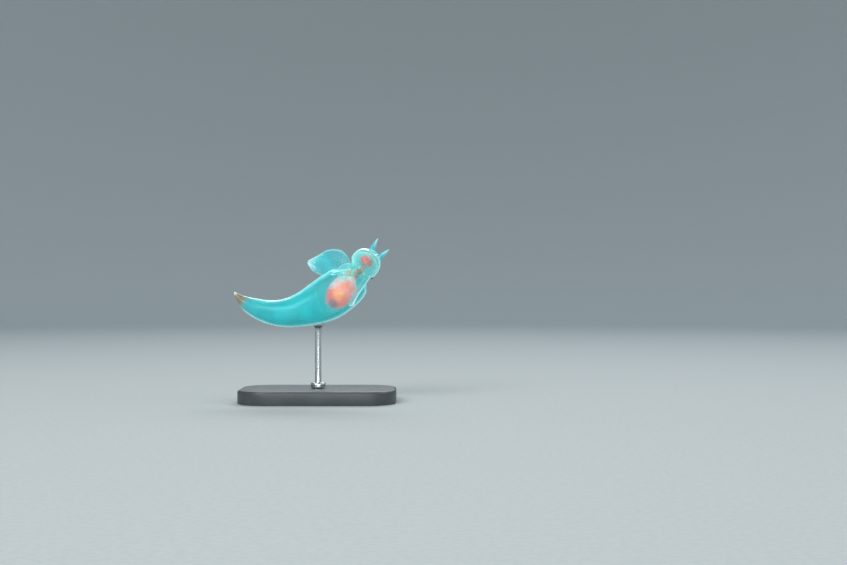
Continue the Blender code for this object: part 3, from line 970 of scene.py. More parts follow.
def window(node, along):
    """1 where the eye looks straight in at the gut or the mouth parts, whichever side it looks from."""
    facing = node("facing", 0.5)
    gut_start = node("step", along, *GUT_RANGE[:2])
    gut_end = node("step", along, *GUT_RANGE[2:], 1.0, 0.0)
    over_gut = node("product", node("step", facing, *GUT_FACING, 1.0, 0.0), gut_start, gut_end)
    mouth_start = node("step", along, *MOUTH_RANGE)
    over_mouth = node("product", node("step", facing, *MOUTH_FACING, 1.0, 0.0), mouth_start)
    return node("larger", over_gut, over_mouth)


print("strands round the body:", STRANDS_ROUND)

# %% [markdown]
# The same flesh looks different in each part of the animal. So the skin is first told where it is trunk,
# head, horn, wing or lobe, and where its fine patterns lie. Each answer is a share from 0 to 1.

# %% Parts and patterns of the skin
PATCH_SIZE = 4.5
MOTTLE_SIZE = 1.3
TRUNK_FROM = (4.5, 8.0)
HEAD_FROM = (41.5, 44.5)
HORN_FROM = (46.3, 47.3)
HORN_TIP_FROM = (48.6, 52.6)
WING_TIP_FROM = (8.2, 10.8)
LATTICE_SPACING = 0.9
LATTICE_SHARPNESS = 7.0
LATTICE_ANGLE = math.radians(32)
LATTICE_SWAY = (2.2, 1.6)
GLAND_SPACING = 1.15
GLAND_EDGE = (0.06, 0.12)
GLANDS_LEFT_OUT = (0.6, 0.65)
TIP_PIGMENT_EDGE = (4.7, 7.1)
TIP_PIGMENT_RAGGED = (0.9, 2.4)
TIP_DOT_EDGE = (0.5, 1.3)
FOOT_BLUSH = (seen(40.1, 4.2, 0.4), 0.3, 1.6)
LIMP_LOBE = (seen(40.4, 0.3, 3.4), 1.9, 3.2)
LOBE_LEFT_IF_LIMP = 0.2
MARGIN_SHARES = (0.34, 0.25, 0.7)
HOOP_SHARE = 0.4


def wing_lattice(node, places, forward, outward):
    """Two sets of muscle strands that cross in a wing, each slanted to its root."""
    swayed = node("sum", outward, sway(node, places, *LATTICE_SWAY))
    outer = node("product", swayed, math.cos(LATTICE_ANGLE))
    fore = node("product", forward, math.sin(LATTICE_ANGLE))
    sets = [node(way, outer, fore) for way in ("sum", "difference")]
    return node("larger", *[fine_lines(node, s, LATTICE_SPACING, LATTICE_SHARPNESS) for s in sets])


def skin_parts(node, places):
    """Where each part and pattern of the skin lies."""
    along, limb, strands, rings = muscle_strands(node, places)
    forward, outward, wing = node("split", node("three_numbers", attribute_name="blade"))
    body_part = node("difference", 1.0, limb)
    trunk = node("product", body_part, node("step", along, *TRUNK_FROM))
    mottle = node("step", node("noise", places, 1 / MOTTLE_SIZE, 3.0), 0.3, 0.7)
    horn = node("product", node("step", along, *HORN_FROM), limb)
    lobe = node("product", limb, node("difference", 1.0, node("larger", wing, horn)))
    limp = near(node, places, *LIMP_LOBE)
    lobe = node("product", lobe, node("between", limp, 1.0, LOBE_LEFT_IF_LIMP))
    limbs = zip((wing, horn, lobe), MARGIN_SHARES)
    edges = node("sum", *[node("product", part, share) for part, share in limbs])
    cells = node("cells", places, 1 / GLAND_SPACING)
    chosen = node("step", node("split", cells["Color"])["X"], *GLANDS_LEFT_OUT)
    threads = node("product", strands, mottle, trunk)
    hoops = node("product", rings, trunk, HOOP_SHARE)
    ragged_size, ragged_reach = TIP_PIGMENT_RAGGED
    ragged = node("product", node("noise", places, 1 / ragged_size, 3.0), ragged_reach)
    ragged = node("sum", along, ragged)
    return {
        "limb": limb, "wing": wing, "horn": horn, "lobe": lobe, "limp": limp,
        "limp_lobe": node("product", limp, limb),
        "window": window(node, along),
        "patch": node("step", node("noise", places, 1 / PATCH_SIZE, 3.0), 0.35, 0.68),
        "head": node("product", node("step", along, *HEAD_FROM), body_part),
        "horn_tip": node("step", along, *HORN_TIP_FROM),
        "wing_tip": node("product", node("step", outward, *WING_TIP_FROM), wing),
        "lattice": node("product", wing_lattice(node, places, forward, outward), wing),
        "threads": threads,
        "lines": node("sum", threads, hoops),
        # The edge share marks the thin margins of the limbs, where the skin gets a painted highlight.
        "edge": node("product", node("number", attribute_name="margin"), edges),
        "gland": node("product", node("step", cells["Distance"], *GLAND_EDGE, 1.0, 0.0), chosen),
        "tip_pigment": node("step", ragged, *TIP_PIGMENT_EDGE, 1.0, 0.0),
        "tip_dot": node("step", along, *TIP_DOT_EDGE, 1.0, 0.0),
        "blush": near(node, places, *FOOT_BLUSH),
    }


print("skin glands are up to, mm across:", round(2 * GLAND_EDGE[1] * GLAND_SPACING, 2))

# %% [markdown]
# Colour is then built up part by part, as a painter would glaze it. So is the cover, which is the share
# of light that the film stops. At the rim the eye looks along the film, so there the cover rises.

# %% Colour and cover of the skin

# Each tint in turn: where it lies, how strong it is, and its colour.
# The pale edge tint on the thin margins of the limbs is a painted highlight.
SKIN_TINTS = (
    ("lines", 0.35, "d8fdff"), ("lattice", 0.12, "aef0f0"), ("wing_tip", 0.45, "dcf8f5"),
    ("edge", 1.0, "c8fafd"), ("blush", 0.4, "c9a89c"), ("tip_pigment", 0.9, "8a5a2c"),
    ("tip_dot", 1.0, "c4f6ea"), ("gland", 1.0, "f4fffb"),
)

# The cover in each part in turn. Where a second part is named, the cover goes over it from one value to
# the other. The last two lists are what patterns add, and what is left of the rim in some limbs.
TRUNK_COVER = 0.05
PART_COVERS = (
    ("head", None, 0.16, None), ("window", None, 0.025, None), ("limb", "limp", 0.2, 0.07),
    ("wing", None, 0.56, None), ("horn", "horn_tip", 0.78, 0.5),
)
LINE_COVERS = (0.06, 0.015)
COVERS_ADDED = (
    ("lattice", 0.035), ("wing_tip", 0.08), ("gland", 0.4), ("tip_pigment", 0.5), ("edge", 0.45),
)
RIM_FACING = (0.38, 0.8)
RIM_COVER = 0.96
RIM_LEFT = (("wing", 0.1), ("lobe", 0.6), ("limp_lobe", 0.15))


def skin_colour(node, at):
    colour = node("blend", at["patch"], tone("78edf1"), tone("98f5f8"))
    colour = node("blend", node("product", at["head"], 0.6), colour, tone("a4f7f2"))
    leaf = node("blend", at["patch"], tone("009ca6"), tone("00b2ba"))
    colour = node("blend", at["wing"], colour, leaf)
    horn = node("blend", at["horn_tip"], tone("008ea0"), tone("6ed0d6"))
    colour = node("blend", at["horn"], colour, horn)
    for part, strength, code in SKIN_TINTS:
        colour = node("blend", node("product", at[part], strength), colour, tone(code))
    return colour


def skin_cover(node, at):
    cover = TRUNK_COVER
    for part, over, here, there in PART_COVERS:
        in_part = node("between", at[over], here, there) if over else here
        cover = node("blend_values", at[part], cover, in_part)
    lines = node("product", at["lines"], node("between", at["window"], *LINE_COVERS))
    cover = node("sum", cover, lines, *[node("product", at[part], share) for part, share in COVERS_ADDED])
    left = [node("between", at[part], 1.0, share) for part, share in RIM_LEFT]
    rim = node("product", node("step", node("facing", 0.5), *RIM_FACING), *left)
    room = node("difference", RIM_COVER, cover)
    return node("smaller", node("sum", cover, node("product", room, rim)), 1.0)


print("tints in the skin:", len(SKIN_TINTS))

# %% Clear flesh
FLESH_IOR = 1.36
SKIN_GRAIN = 0.8
SKIN_GRAIN_DEPTH = 0.05
WET_PATCH = 0.9


# Jelly flesh is mostly water: it bends light little, has a painted glow in its own colour, and shines wet
# on its skin.
def clear_flesh():
    made, node, shader, places = new_material("clear_jelly_flesh")
    at = skin_parts(node, places)
    colour = skin_colour(node, at)
    grain = node("sum", node("noise", places, 1 / SKIN_GRAIN, 4.0), node("product", at["threads"], 0.12))
    fill_in(shader, {
        "Base Color": colour,
        "Alpha": skin_cover(node, at),
        "Roughness": node("step", node("noise", places, 1 / WET_PATCH, 3.0), 0.3, 0.75, 0.16, 0.3),
        "Normal": node("bump", grain, 0.25, SKIN_GRAIN_DEPTH * MM),
        "IOR": FLESH_IOR,
        "Subsurface Weight": 0.8,
        "Subsurface Radius": (0.5, 1.0, 1.0),
        "Subsurface Scale": 2.2 * MM,
        "Coat Weight": 0.45,
        "Coat Roughness": 0.06,
        "Emission Color": colour,
        "Emission Strength": 0.2,
        "Sheen Weight": 0.4,
        "Sheen Roughness": 0.3,
        "Sheen Tint": tone("a8f4fa"),
    })
    return made


jelly = clear_flesh()
dress(skin, jelly)
print("skin material nodes:", len(jelly.node_tree.nodes))

# %% [markdown]
# ## Body wall
# Under the skin lies a muscular wall, and inside that the animal is a bag of clear fluid. The inner face
# of the wall is what draws the second bright line along the flank. It is the same sweep again, thinner all
# round and rounded off at both ends, then subdivided once to take the facets off. The fluid could be a
# darker wall, but that would hide the organs as much as what lies behind them. So it is a volume with a
# painted blue-green glow, which colours more the deeper the eye looks through it, and leaves the organs
# near the wall clear.

# %% Body wall
WALL_FROM = 1.7
WALL_TO = 49.0
WALL_THICK = 0.5
WALL_SHARE = 0.2
WALL_ROUNDING = 2.6
WALL_RINGS = 56
LEAST_ROUNDING = 0.0004


def rounding(from_end, length, least):
    """Share of the full radius at a distance from a rounded end."""
    left = max(1 - from_end / length, 0)
    return math.sqrt(max(1 - left**2, least))


def wall_rings():
    rings = []
    for k in range(WALL_RINGS + 1):
        t = k / WALL_RINGS
        distance = WALL_FROM + (WALL_TO - WALL_FROM) * (0.5 - 0.5 * math.cos(math.pi * t))
        from_end = min(distance - WALL_FROM, WALL_TO - distance)
        centre, angle, radius = body_ring(distance, min(WALL_THICK, WALL_SHARE * half_width(distance)))
        rings.append((centre, angle, radius * rounding(from_end, WALL_ROUNDING, LEAST_ROUNDING)))
    return rings


body_wall = sweep("body_wall", 40, wall_rings(), ACROSS, THROUGH)
use_modifier(body_wall, "SUBSURF", levels=1, render_levels=1)
give_places(body_wall)
print("body wall triangles:", count_triangles(body_wall))

# %% Wall of clear muscle
BANDS_ROUND = 3
BAND_SWAY = (6.0, 0.35)
BAND_EDGE = (0.82, 0.98)
BAND_FROM = (6.0, 14.0)
WALL_PATCH = 5.0
WALL_HEAD = (40.5, 43.5)

# Cover of the wall in the tail, the rear trunk, over the gut, in the neck, and at its rim.
TAIL_COVER = 0.3
TAIL_END = (2.0, 9.0)
TRUNK_COVERS = (0.68, 0.52)
GUT_FROM = (27.5, 32.0)
NECK_COVER = 0.36
NECK_FROM = (40.5, 43.0)
WINDOW_COVERS = (0.03, 0.06)
WALL_RIM = 0.3
WALL_RIM_FACING = (0.5, 0.97)

# How strongly the fluid colours, for each mm of its depth.
FLUID_DENSITY = 0.105 / MM


def retractor_bands(node, along, places):
    """Long pale bands of muscle that draw the animal together, from the neck to the tail."""
    swayed = node("sum", angle_round(node)[0], sway(node, places, *BAND_SWAY))
    waves = node("cosine", node("product", swayed, BANDS_ROUND))
    return node("product", node("step", waves, *BAND_EDGE), node("step", along, *BAND_FROM))


# Body fluid soaks up a little of what lies behind it, and has a painted blue-green glow in its place.
def fluid_with_painted_glow(node):
    soak = node("soak", tone("000000"), FLUID_DENSITY)
    return node("both", soak, node("light", tone("00c2c8"), FLUID_DENSITY))


# Wall muscle is fibrous and watery: satin and not glossy, deeper in colour than the skin over it. It has a
# painted glow in its own colour, a greener one in the head.
def wall_muscle():
    made, node, shader, places = new_material("clear_wall_muscle")
    along, _, _, rings = muscle_strands(node, places)
    bands = retractor_bands(node, along, places)
    patches = node("step", node("noise", places, 1 / WALL_PATCH, 3.0), 0.3, 0.7)
    colour = node("blend", patches, tone("00858b"), tone("009aa0"))
    colour = node("blend", node("product", rings, 0.12), colour, tone("5cdce4"))
    colour = node("blend", node("product", bands, 0.18), colour, tone("6ce6ea"))
    in_head = node("step", along, *WALL_HEAD)
    trunk = node("step", along, *GUT_FROM, *TRUNK_COVERS)
    cover = node("blend_values", node("step", along, *TAIL_END), TAIL_COVER, trunk)
    cover = node("blend_values", node("step", along, *NECK_FROM), cover, NECK_COVER)
    cover = node("sum", cover, node("product", rings, 0.03), node("product", bands, 0.06))
    least = node("blend_values", in_head, *WINDOW_COVERS)
    cover = node("blend_values", window(node, along), cover, least)
    rim = node("product", node("step", node("facing", 0.5), *WALL_RIM_FACING), WALL_RIM)
    fill_in(shader, {
        "Base Color": node("blend", in_head, colour, tone("98ece2")),
        "Alpha": node("sum", cover, rim),
        "Roughness": 0.55,
        "IOR": FLESH_IOR,
        "Specular IOR Level": 0.25,
        "Subsurface Weight": 0.8,
        "Subsurface Radius": (0.3, 1.0, 1.0),
        "Subsurface Scale": 5.0 * MM,
        "Emission Color": node("blend", in_head, colour, tone("3c8f88")),
        "Emission Strength": 0.5,
        "Sheen Weight": 0.2,
        "Sheen Roughness": 0.4,
        "Sheen Tint": tone("c8f8fb"),
    })
    fill_in(made.node_tree.nodes["Material Output"], {"Volume": fluid_with_painted_glow(node)})
    return made


dress(body_wall, wall_muscle())
print("wall finished, with", BANDS_ROUND, "bands")

# %% [markdown]
# ## Organs
# The organs are soft, rounded and lumpy. Each starts as a sweep along its own short path, is remeshed to an
# even skin, and takes its lumps from a Displace modifier. Their places are read from the picture and
# written from the animal's own line: so far from the tail tip, above the midline and toward the camera.
# The digestive gland is made twice, the second time half a millimetre wider, as its pale sheath.

# %% Soft organs
BAG_SPOTS = (
    (0.0, 29.4, -0.1, 0.1, 0.3), (0.07, 29.8, -0.3, 0.2, 2.0), (0.22, 31.3, -0.75, 0.3, 3.65),
    (0.42, 33.6, -0.9, 0.3, 4.35), (0.62, 35.9, -0.35, 0.2, 4.35), (0.8, 37.9, 0.35, 0.0, 3.7),
    (0.93, 39.5, 0.6, 0.0, 2.7), (1.0, 40.8, 0.4, 0.0, 1.2),
)
SHEATH_THICK = 0.5
LEAST_GLAND = 0.1
LEAST_ORGAN = 0.03


def organ_path(spots, count):
    """Rings along a soft organ. Spots are (share, distance, above, toward the camera, radius), in mm."""
    shares = [k / count for k in range(count + 1)]
    centres = [seen(*(smooth(spots, t, column) for column in (1, 2, 3))) for t in shares]
    rings = []
    for k, t in enumerate(shares):
        ahead = centres[min(k + 1, count)] - centres[max(k - 1, 0)]
        rings.append((centres[k], math.atan2(ahead.z, ahead.x), max(smooth(spots, t, 4), LEAST_ORGAN)))
    return rings


def lumpy(piece, voxel, lump_size, lump_height, rounds=4):
    """Even skin, then soft lumps of a given size and height in mm."""
    use_modifier(piece, "REMESH", mode="VOXEL", voxel_size=voxel * MM, use_smooth_shade=True)
    use_modifier(piece, "SMOOTH", factor=0.5, iterations=rounds)
    grain = bpy.data.textures.new(piece.name + "_lumps", "CLOUDS")
    grain.noise_scale = lump_size * MM
    grain.noise_depth = 1
    height = {"strength": lump_height * MM, "mid_level": 0.5}
    use_modifier(piece, "DISPLACE", texture=grain, texture_coords="LOCAL", **height)
    use_modifier(piece, "SMOOTH", factor=0.5, iterations=2)


gland_spots = [(*spot[:4], max(spot[4] - SHEATH_THICK, LEAST_GLAND)) for spot in BAG_SPOTS]
bag = sweep("digestive_gland", 32, organ_path(gland_spots, 30))
lumpy(bag, 0.14, 1.3, 0.6)
sheath = sweep("visceral_sheath", 32, organ_path(BAG_SPOTS, 30))
lumpy(sheath, 0.16, 2.4, 0.35)
print("digestive gland and sheath triangles:", count_triangles(bag), count_triangles(sheath))

# %% [markdown]
# The visceral mass holds the digestive gland and the gonad. It is salmon red at its rear, has a yellow
# core and a dark plum spot low at the back, and pales to pink where it rises toward the neck. Soft tissue
# scatters light, so its shader has subsurface scattering about a millimetre deep, deepest for red. It also
# has a painted glow in its own colour, which makes up for the light that the clear wall round it holds
# back.

# %% Soft tissue

# The lobules of a real gland are about 0.1 mm across. Grain, veins and pits are drawn coarser, to show.
SCATTER_DEPTH = 0.9
GRAIN_SIZE = 0.9
VEIN_SIZE = 0.28
PIT_SIZE = 0.3
PIT_DEPTH = 0.08
SPOT_DEPTH = 0.15
PAINTED_GLOW = 0.38


# Glandular tissue is moist and finely mottled, and light that enters it comes out again redder nearby.
# It has a painted glow in its own colour.
def soft_tissue(name, base, tinted, spots, grain_size=GRAIN_SIZE, scatter=SCATTER_DEPTH):
    """Moist, scattering tissue. Spots are (place, core, edge, hex colour, strength)."""
    made, node, shader, places = new_material(name)
    grain = node("step", node("noise", places, 1 / grain_size, 4.0, 0.4), 0.34, 0.66)
    colour = node("blend", grain, tone(base), tone(tinted))
    for where, core, edge, code, strength in spots:
        share = node("product", near(node, places, where, core, edge, SPOT_DEPTH), strength)
        colour = node("blend", share, colour, tone(code))
    veins = node("step", node("noise", places, 1 / VEIN_SIZE, 2.0, 1.5), 0.56, 0.7)
    colour = node("blend", node("product", veins, 0.5), colour, node("tint", colour, 1.25, 0.72))
    fill_in(shader, {
        "Base Color": colour,
        "Roughness": node("between", grain, 0.3, 0.5),
        "Normal": node("bump", node("noise", places, 1 / PIT_SIZE, 3.0), 0.5, PIT_DEPTH * MM),
        "IOR": FLESH_IOR,
        "Subsurface Weight": 0.55,
        "Subsurface Scale": scatter * MM,
        "Subsurface Radius": (1.0, 0.45, 0.3),
        "Coat Weight": 0.25,
        "Coat Roughness": 0.15,
        "Emission Color": colour,
        "Emission Strength": PAINTED_GLOW,
    })
    return made


BAG_TINTS = (
    (seen(38.9, 2.2), 1.3, 3.7, "d6d6cc", 0.92),
    (seen(37.0, -2.4), 1.0, 3.4, "ff8a7c", 0.85),
    (seen(33.6, -2.9), 0.8, 2.8, "ff4a2c", 0.9),
    (seen(31.2, 0.2), 0.9, 3.0, "ff2414", 0.95),
    (seen(33.9, -1.0), 0.6, 2.7, "ff9c40", 0.95),
    (seen(37.4, 0.1), 0.4, 2.0, "ff6c3c", 0.75),
    (seen(31.0, -2.3), 0.7, 2.2, "a80040", 0.97),
    (seen(34.9, 3.4), 0.8, 3.0, "dfcfd4", 0.85),
    (seen(39.7, -1.7), 0.6, 2.3, "e4c8b8", 0.8),
)
dress(bag, soft_tissue("digestive_gland_tissue", "fc6a54", "ff846c", BAG_TINTS))
print("tints on the gland:", len(BAG_TINTS))

# %% Thin films


def thin_film(name, base, tinted, patches, cover, shine, change=None):
    """A clear pale film. patches: size, detail and edge. cover: least, most, and what the rim adds."""
    made, node, shader, places = new_material(name)
    size, detail, low, high = patches
    patchy = node("step", node("noise", places, 1 / size, detail), low, high)
    share = node("between", patchy, *cover[:2])
    share = change(node, share) if change else share
    fill_in(shader, {
        "Base Color": node("blend", patchy, tone(base), tone(tinted)),
        "Alpha": node("sum", share, node("product", node("facing", 0.5), cover[2])),
        "IOR": FLESH_IOR,
        "Sheen Roughness": 0.5,
        **shine,
    })
    return made


# The sheath is a wet skin of milky pink, clear enough to show the gland's colours a little paler.
wet_sheen = {
    "Roughness": 0.3, "Coat Weight": 0.4, "Coat Roughness": 0.1, "Sheen Weight": 0.6,
    "Sheen Tint": tone("ffe6e0"),
}
sheath_patches, sheath_cover = (1.8, 4.0, 0.35, 0.7), (0.05, 0.12, 0.24)
pink_film = thin_film(
    "clear_visceral_sheath", "efcfd0", "fbe3de", sheath_patches, sheath_cover, wet_sheen
)
dress(sheath, pink_film)
print("cover of the sheath, face on:", sheath_cover[:2])

# %% Glands of the neck
NECK_GLAND_SPOTS = (
    (0.0, 36.4, 3.2, 0.2, 0.1), (0.12, 36.8, 3.1, 0.2, 0.9), (0.45, 38.6, 2.3, 0.2, 1.6),
    (0.8, 40.7, 1.2, 0.3, 1.5), (1.0, 42.4, 0.6, 0.3, 0.35),
)
NECK_GLAND_TINTS = ((seen(37.4, 3.0), 0.5, 2.6, "d3dfe0", 0.85),)

neck_gland = sweep("mucous_gland", 24, organ_path(NECK_GLAND_SPOTS, 20))
lumpy(neck_gland, 0.13, 0.8, 0.5)
dress(neck_gland, soft_tissue("mucous_gland_tissue", "8d9c80", "aab090", NECK_GLAND_TINTS))
print("neck gland triangles:", count_triangles(neck_gland))

# %% Gullet and salivary glands
GULLET_SPOTS = (
    (0.0, 45.6, 0.1, 0.0, 0.95), (0.25, 44.4, -0.35, 0.0, 0.62), (0.5, 43.0, -0.55, 0.1, 0.48),
    (0.75, 41.2, -0.3, 0.2, 0.46), (1.0, 39.0, 0.3, 0.2, 0.5),
)
SALIVARY_SPOTS = (
    (0.0, 43.4, 0.0, 0.6, 0.1), (0.15, 43.1, 0.05, 0.65, 0.5), (0.5, 42.2, 0.1, 0.8, 0.95),
    (0.85, 41.2, -0.4, 0.7, 0.5), (1.0, 40.6, -0.7, 0.7, 0.1),
)
GULLET_TINTS = ((seen(42.0, -0.6), 0.3, 1.4, "7e3a2e", 0.7),)

tubes = [sweep("gullet", 20, organ_path(GULLET_SPOTS, 20))]
for side in (1, -1):
    gland = [(*spot[:3], side * spot[3], spot[4]) for spot in SALIVARY_SPOTS]
    tubes.append(sweep("salivary_gland", 20, organ_path(gland, 14)))
gullet = join(tubes, "gullet_and_salivary_glands")
lumpy(gullet, 0.11, 0.6, 0.3)
dress(gullet, soft_tissue("gullet_tissue", "a2402a", "b65c44", GULLET_TINTS, 0.6, 0.6))
print("gullet triangles:", count_triangles(gullet))

# %% [markdown]
# The mouth parts are a round bulb with six fleshy cones, drawn back into the head while the animal isn't
# feeding. One cone is made, and the other five are copies turned round the axis of the head.

# %% Mouth cones
BULB_AT = (46.3, 0.1, 0.1)
BULB_SIZE = (1.95, 1.95, 1.5)
CONES = 6
CONE_RING = 1.3
CONE_LENGTH = 2.7
CONE_STEPS = 12
CONE_WIDTHS = ((0.0, 0.55), (0.25, 0.86), (0.6, 0.72), (0.88, 0.42), (1.0, 0.12))
CONE_FROM = -0.9
CONE_LEAN = -0.12

bulb_place = seen(*BULB_AT)
bulb = ball("buccal_mass", bulb_place, head_right, head_ahead, BULB_SIZE)
cone_shares = [k / CONE_STEPS for k in range(CONE_STEPS + 1)]
cone_steps = [(0, CONE_LENGTH * t, smooth(CONE_WIDTHS, t)) for t in cone_shares]
first_cone = pull_up("cone", 18, cone_steps)
cones = []
for k in range(CONES):
    around = 2 * math.pi * (k + 0.5) / CONES
    out = head_right * math.cos(around) + head_belly * math.sin(around)
    only(first_cone)
    bpy.ops.object.duplicate()
    cone = bpy.context.object
    root = bulb_place + out * CONE_RING * MM + head_ahead * CONE_FROM * MM
    set_down(cone, root, head_ahead.cross(out), head_ahead + out * CONE_LEAN)
    cones.append(cone)
bpy.data.objects.remove(first_cone)
buccal = join([bulb] + cones, "buccal_mass_and_cones")
lumpy(buccal, 0.11, 0.7, 0.12, 3)
BUCCAL_TINTS = (
    (seen(47.7, -1.6), 0.4, 1.5, "6d1020", 0.9),
    (seen(45.0, -0.4), 0.4, 1.8, "c46a4c", 0.8),
)
dress(buccal, soft_tissue("buccal_muscle", "c80000", "e00c04", BUCCAL_TINTS, 0.7, 0.7))
print("buccal mass triangles:", count_triangles(buccal))

# %% Nerve ring
GANGLIA = (
    (43.6, 0.55, 0.75, 0.5), (43.6, 0.4, -0.75, 0.5), (42.9, -1.6, 0.6, 0.42), (42.9, -1.6, -0.6, 0.42),
)
ganglia = []
for distance, above, front, radius in GANGLIA:
    size = (radius, radius * 0.85, radius * 1.15)
    ganglia.append(ball("ganglion", seen(distance, above, front), head_right, head_ahead, size, 20, 12))
nerves = join(ganglia, "nerve_ring")
lumpy(nerves, 0.1, 0.4, 0.08)
dress(nerves, soft_tissue("nerve_tissue", "7fae8e", "9cc2a0", (), 0.5, 0.5))
print("ganglia:", len(GANGLIA))

# %% [markdown]
# The head is filled with pale, milky muscle round the mouth parts. It is a second inner layer, cut off
# short at the neck, and it gives the head its paler, greener look.

# %% Head muscle
HEAD_MUSCLE_FROM = 42.3
HEAD_MUSCLE_WALL = 1.45
HEAD_MUSCLE_RINGS = 22
HEAD_MUSCLE_ROUNDINGS = (1.6, 2.2)
HEAD_MUSCLE_LEAST = (0.001, 0.05)
HEAD_STRANDS = 0.02
LEFT_IN_WINDOW = 0.1


def head_rings():
    rings = []
    last = BODY_LENGTH - HEAD_MUSCLE_WALL
    flat, thin = HEAD_MUSCLE_LEAST
    for k in range(HEAD_MUSCLE_RINGS + 1):
        t = math.sin(math.pi / 2 * k / HEAD_MUSCLE_RINGS)
        distance = HEAD_MUSCLE_FROM + (last - HEAD_MUSCLE_FROM) * t
        start = rounding(distance - HEAD_MUSCLE_FROM, HEAD_MUSCLE_ROUNDINGS[0], flat)
        end = rounding(last - distance, HEAD_MUSCLE_ROUNDINGS[1], flat)
        centre, angle, radius = body_ring(distance, HEAD_MUSCLE_WALL)
        rings.append((centre, angle, max(radius * (start * end), thin)))
    return rings


head_muscle = sweep("head_muscle", 36, head_rings(), ACROSS, THROUGH)
use_modifier(head_muscle, "SUBSURF", levels=1, render_levels=1)
give_places(head_muscle)


def strands_and_window(node, cover):
    """Adds faint strands, and clears the film where the eye looks in at the mouth parts."""
    along, _, strands, _ = muscle_strands(node, places_in_mm(node))
    cover = node("sum", cover, node("product", strands, HEAD_STRANDS))
    return node("product", cover, node("between", window(node, along), 1.0, LEFT_IN_WINDOW))


# Milky muscle scatters light in its fibres, so it reads as a pale green haze with a soft, dull sheen.
dull_sheen = {"Roughness": 0.5, "Sheen Weight": 0.3, "Sheen Tint": tone("d8fff6")}
head_patches, head_cover = (1.2, 3.0, 0.3, 0.7), (0.06, 0.12, 0.06)
milky_film = thin_film(
    "milky_head_muscle", "9fe2d8", "c8efe6", head_patches, head_cover, dull_sheen, strands_and_window
)
dress(head_muscle, milky_film)
print("head muscle triangles:", count_triangles(head_muscle))

# %% Pigment in the tail tip
TAIL_CORE_SPOTS = (
    (0.0, 1.2, 0.1, 0.0, 0.12), (0.25, 2.0, 0.12, 0.0, 0.4), (0.55, 3.0, 0.2, 0.0, 0.62),
    (0.85, 4.2, 0.35, 0.0, 0.5), (1.0, 5.0, 0.4, 0.0, 0.12),
)
TAIL_TINTS = ((seen(1.0), 0.2, 1.2, "d9dcb8", 0.8),)

tail_core = sweep("tail_pigment", 20, organ_path(TAIL_CORE_SPOTS, 18))
lumpy(tail_core, 0.1, 0.5, 0.5)
dress(tail_core, soft_tissue("tail_pigment_cells", "7a4a20", "9c6c38", TAIL_TINTS, 0.4, 0.5))
print("tail pigment triangles:", count_triangles(tail_core))

# %% [markdown]
# ## Eyes
# The eyes are two dark beads on the stubs of the nape, no wider than a poppy seed. A bead alone would be a
# plain ball, so it is cut flat where it sits and drawn in to a short neck there.

# %% Eyes
EYE_HEIGHT = 0.3
EYE_NECK = 0.12
EYE_NECK_SHARE = 0.8
EYE_GRAIN = 0.15

# The cut counts points nearer than this as lying on it. What it does unasked is a quarter of the bead.
CUT_THRESHOLD = 1e-8


def eye(side):
    root, lean, ahead = nape(side)
    seat = root + lean * (STUB_HEIGHT + EYE_HEIGHT) * MM
    deselect()
    bpy.ops.mesh.primitive_uv_sphere_add(segments=32, ring_count=20, radius=EYE_RADIUS * MM)
    bead = start("eye_bead_right" if side > 0 else "eye_bead_left")
    edit(bead)
    cut = {"plane_co": (0, 0, -EYE_HEIGHT * MM), "plane_no": (0, 0, -1), "threshold": CUT_THRESHOLD}
    bpy.ops.mesh.bisect(clear_outer=True, use_fill=True, **cut)
    bpy.ops.mesh.extrude_region_move(TRANSFORM_OT_translate={"value": (0, 0, -EYE_NECK * MM)})
    bpy.ops.transform.resize(value=(EYE_NECK_SHARE, EYE_NECK_SHARE, 1))
    leave_edit()
    set_down(bead, seat, ahead, lean)
    return bead


eyes = {side: eye(side) for side in (1, -1)}


# An eye is near-black pigment under a clear wet lens, so all it shows is one sharp point of light.
def eye_pigment():
    made, node, shader, places = new_material("eye_pigment_under_clear_lens")
    grain = node("step", node("noise", places, 1 / EYE_GRAIN, 3.0), 0.35, 0.7)
    fill_in(shader, {
        "Base Color": node("blend", grain, tone("120b0d"), tone("3a2426")),
        "Roughness": node("between", grain, 0.18, 0.32),
        "IOR": 1.4,
        "Coat Weight": 1.0,
        "Coat Roughness": 0.03,
    })
    return made


pigment = eye_pigment()
for bead in eyes.values():
    dress(bead, pigment)
print("eyes:", len(eyes))

# %% [markdown]
# ## Stand
# The animal swims free, so the stand is the museum's own: a small steel plate, powder coated charcoal, and
# a turned steel rod. The plate is a block with rounded corners. Real sheet is cut, its corners ground round
# and its edges broken, so the corners get a wide bevel and the two rims a narrow one.

# %% Base plate
PLATE_SIZE = (46.0, 30.0, 4.0)
PLATE_CORNER = 9.0
PLATE_RIM = 0.7
PLATE_FOOT_RIM = 0.25
CLOSE = 0.01

deselect()
bpy.ops.mesh.primitive_cube_add(size=MM, location=(0, 0, PLATE_SIZE[2] / 2 * MM), scale=PLATE_SIZE)
plate = start("stand_plate_cut")


def edit_only(piece, parts, chosen):
    """Opens a piece in edit mode with only those edges or faces selected that pass a test."""
    edit(piece)
    bpy.ops.mesh.select_all(action="DESELECT")
    bpy.ops.mesh.select_mode(type="EDGE" if parts == "edges" else "FACE")
    leave_edit()
    for part in getattr(piece.data, parts):
        part.select = chosen(part)
    bpy.ops.object.mode_set(mode="EDIT")


def bevel_where(piece, chosen, width, segments):
    """Bevels the edges whose two heights in mm pass a test."""
    heights = [v.co.z / MM for v in piece.data.vertices]
    edit_only(piece, "edges", lambda edge: chosen(*[heights[end] for end in edge.vertices]))
    bpy.ops.mesh.bevel(offset=width * MM, segments=segments, profile=0.5, clamp_overlap=True)
    leave_edit()


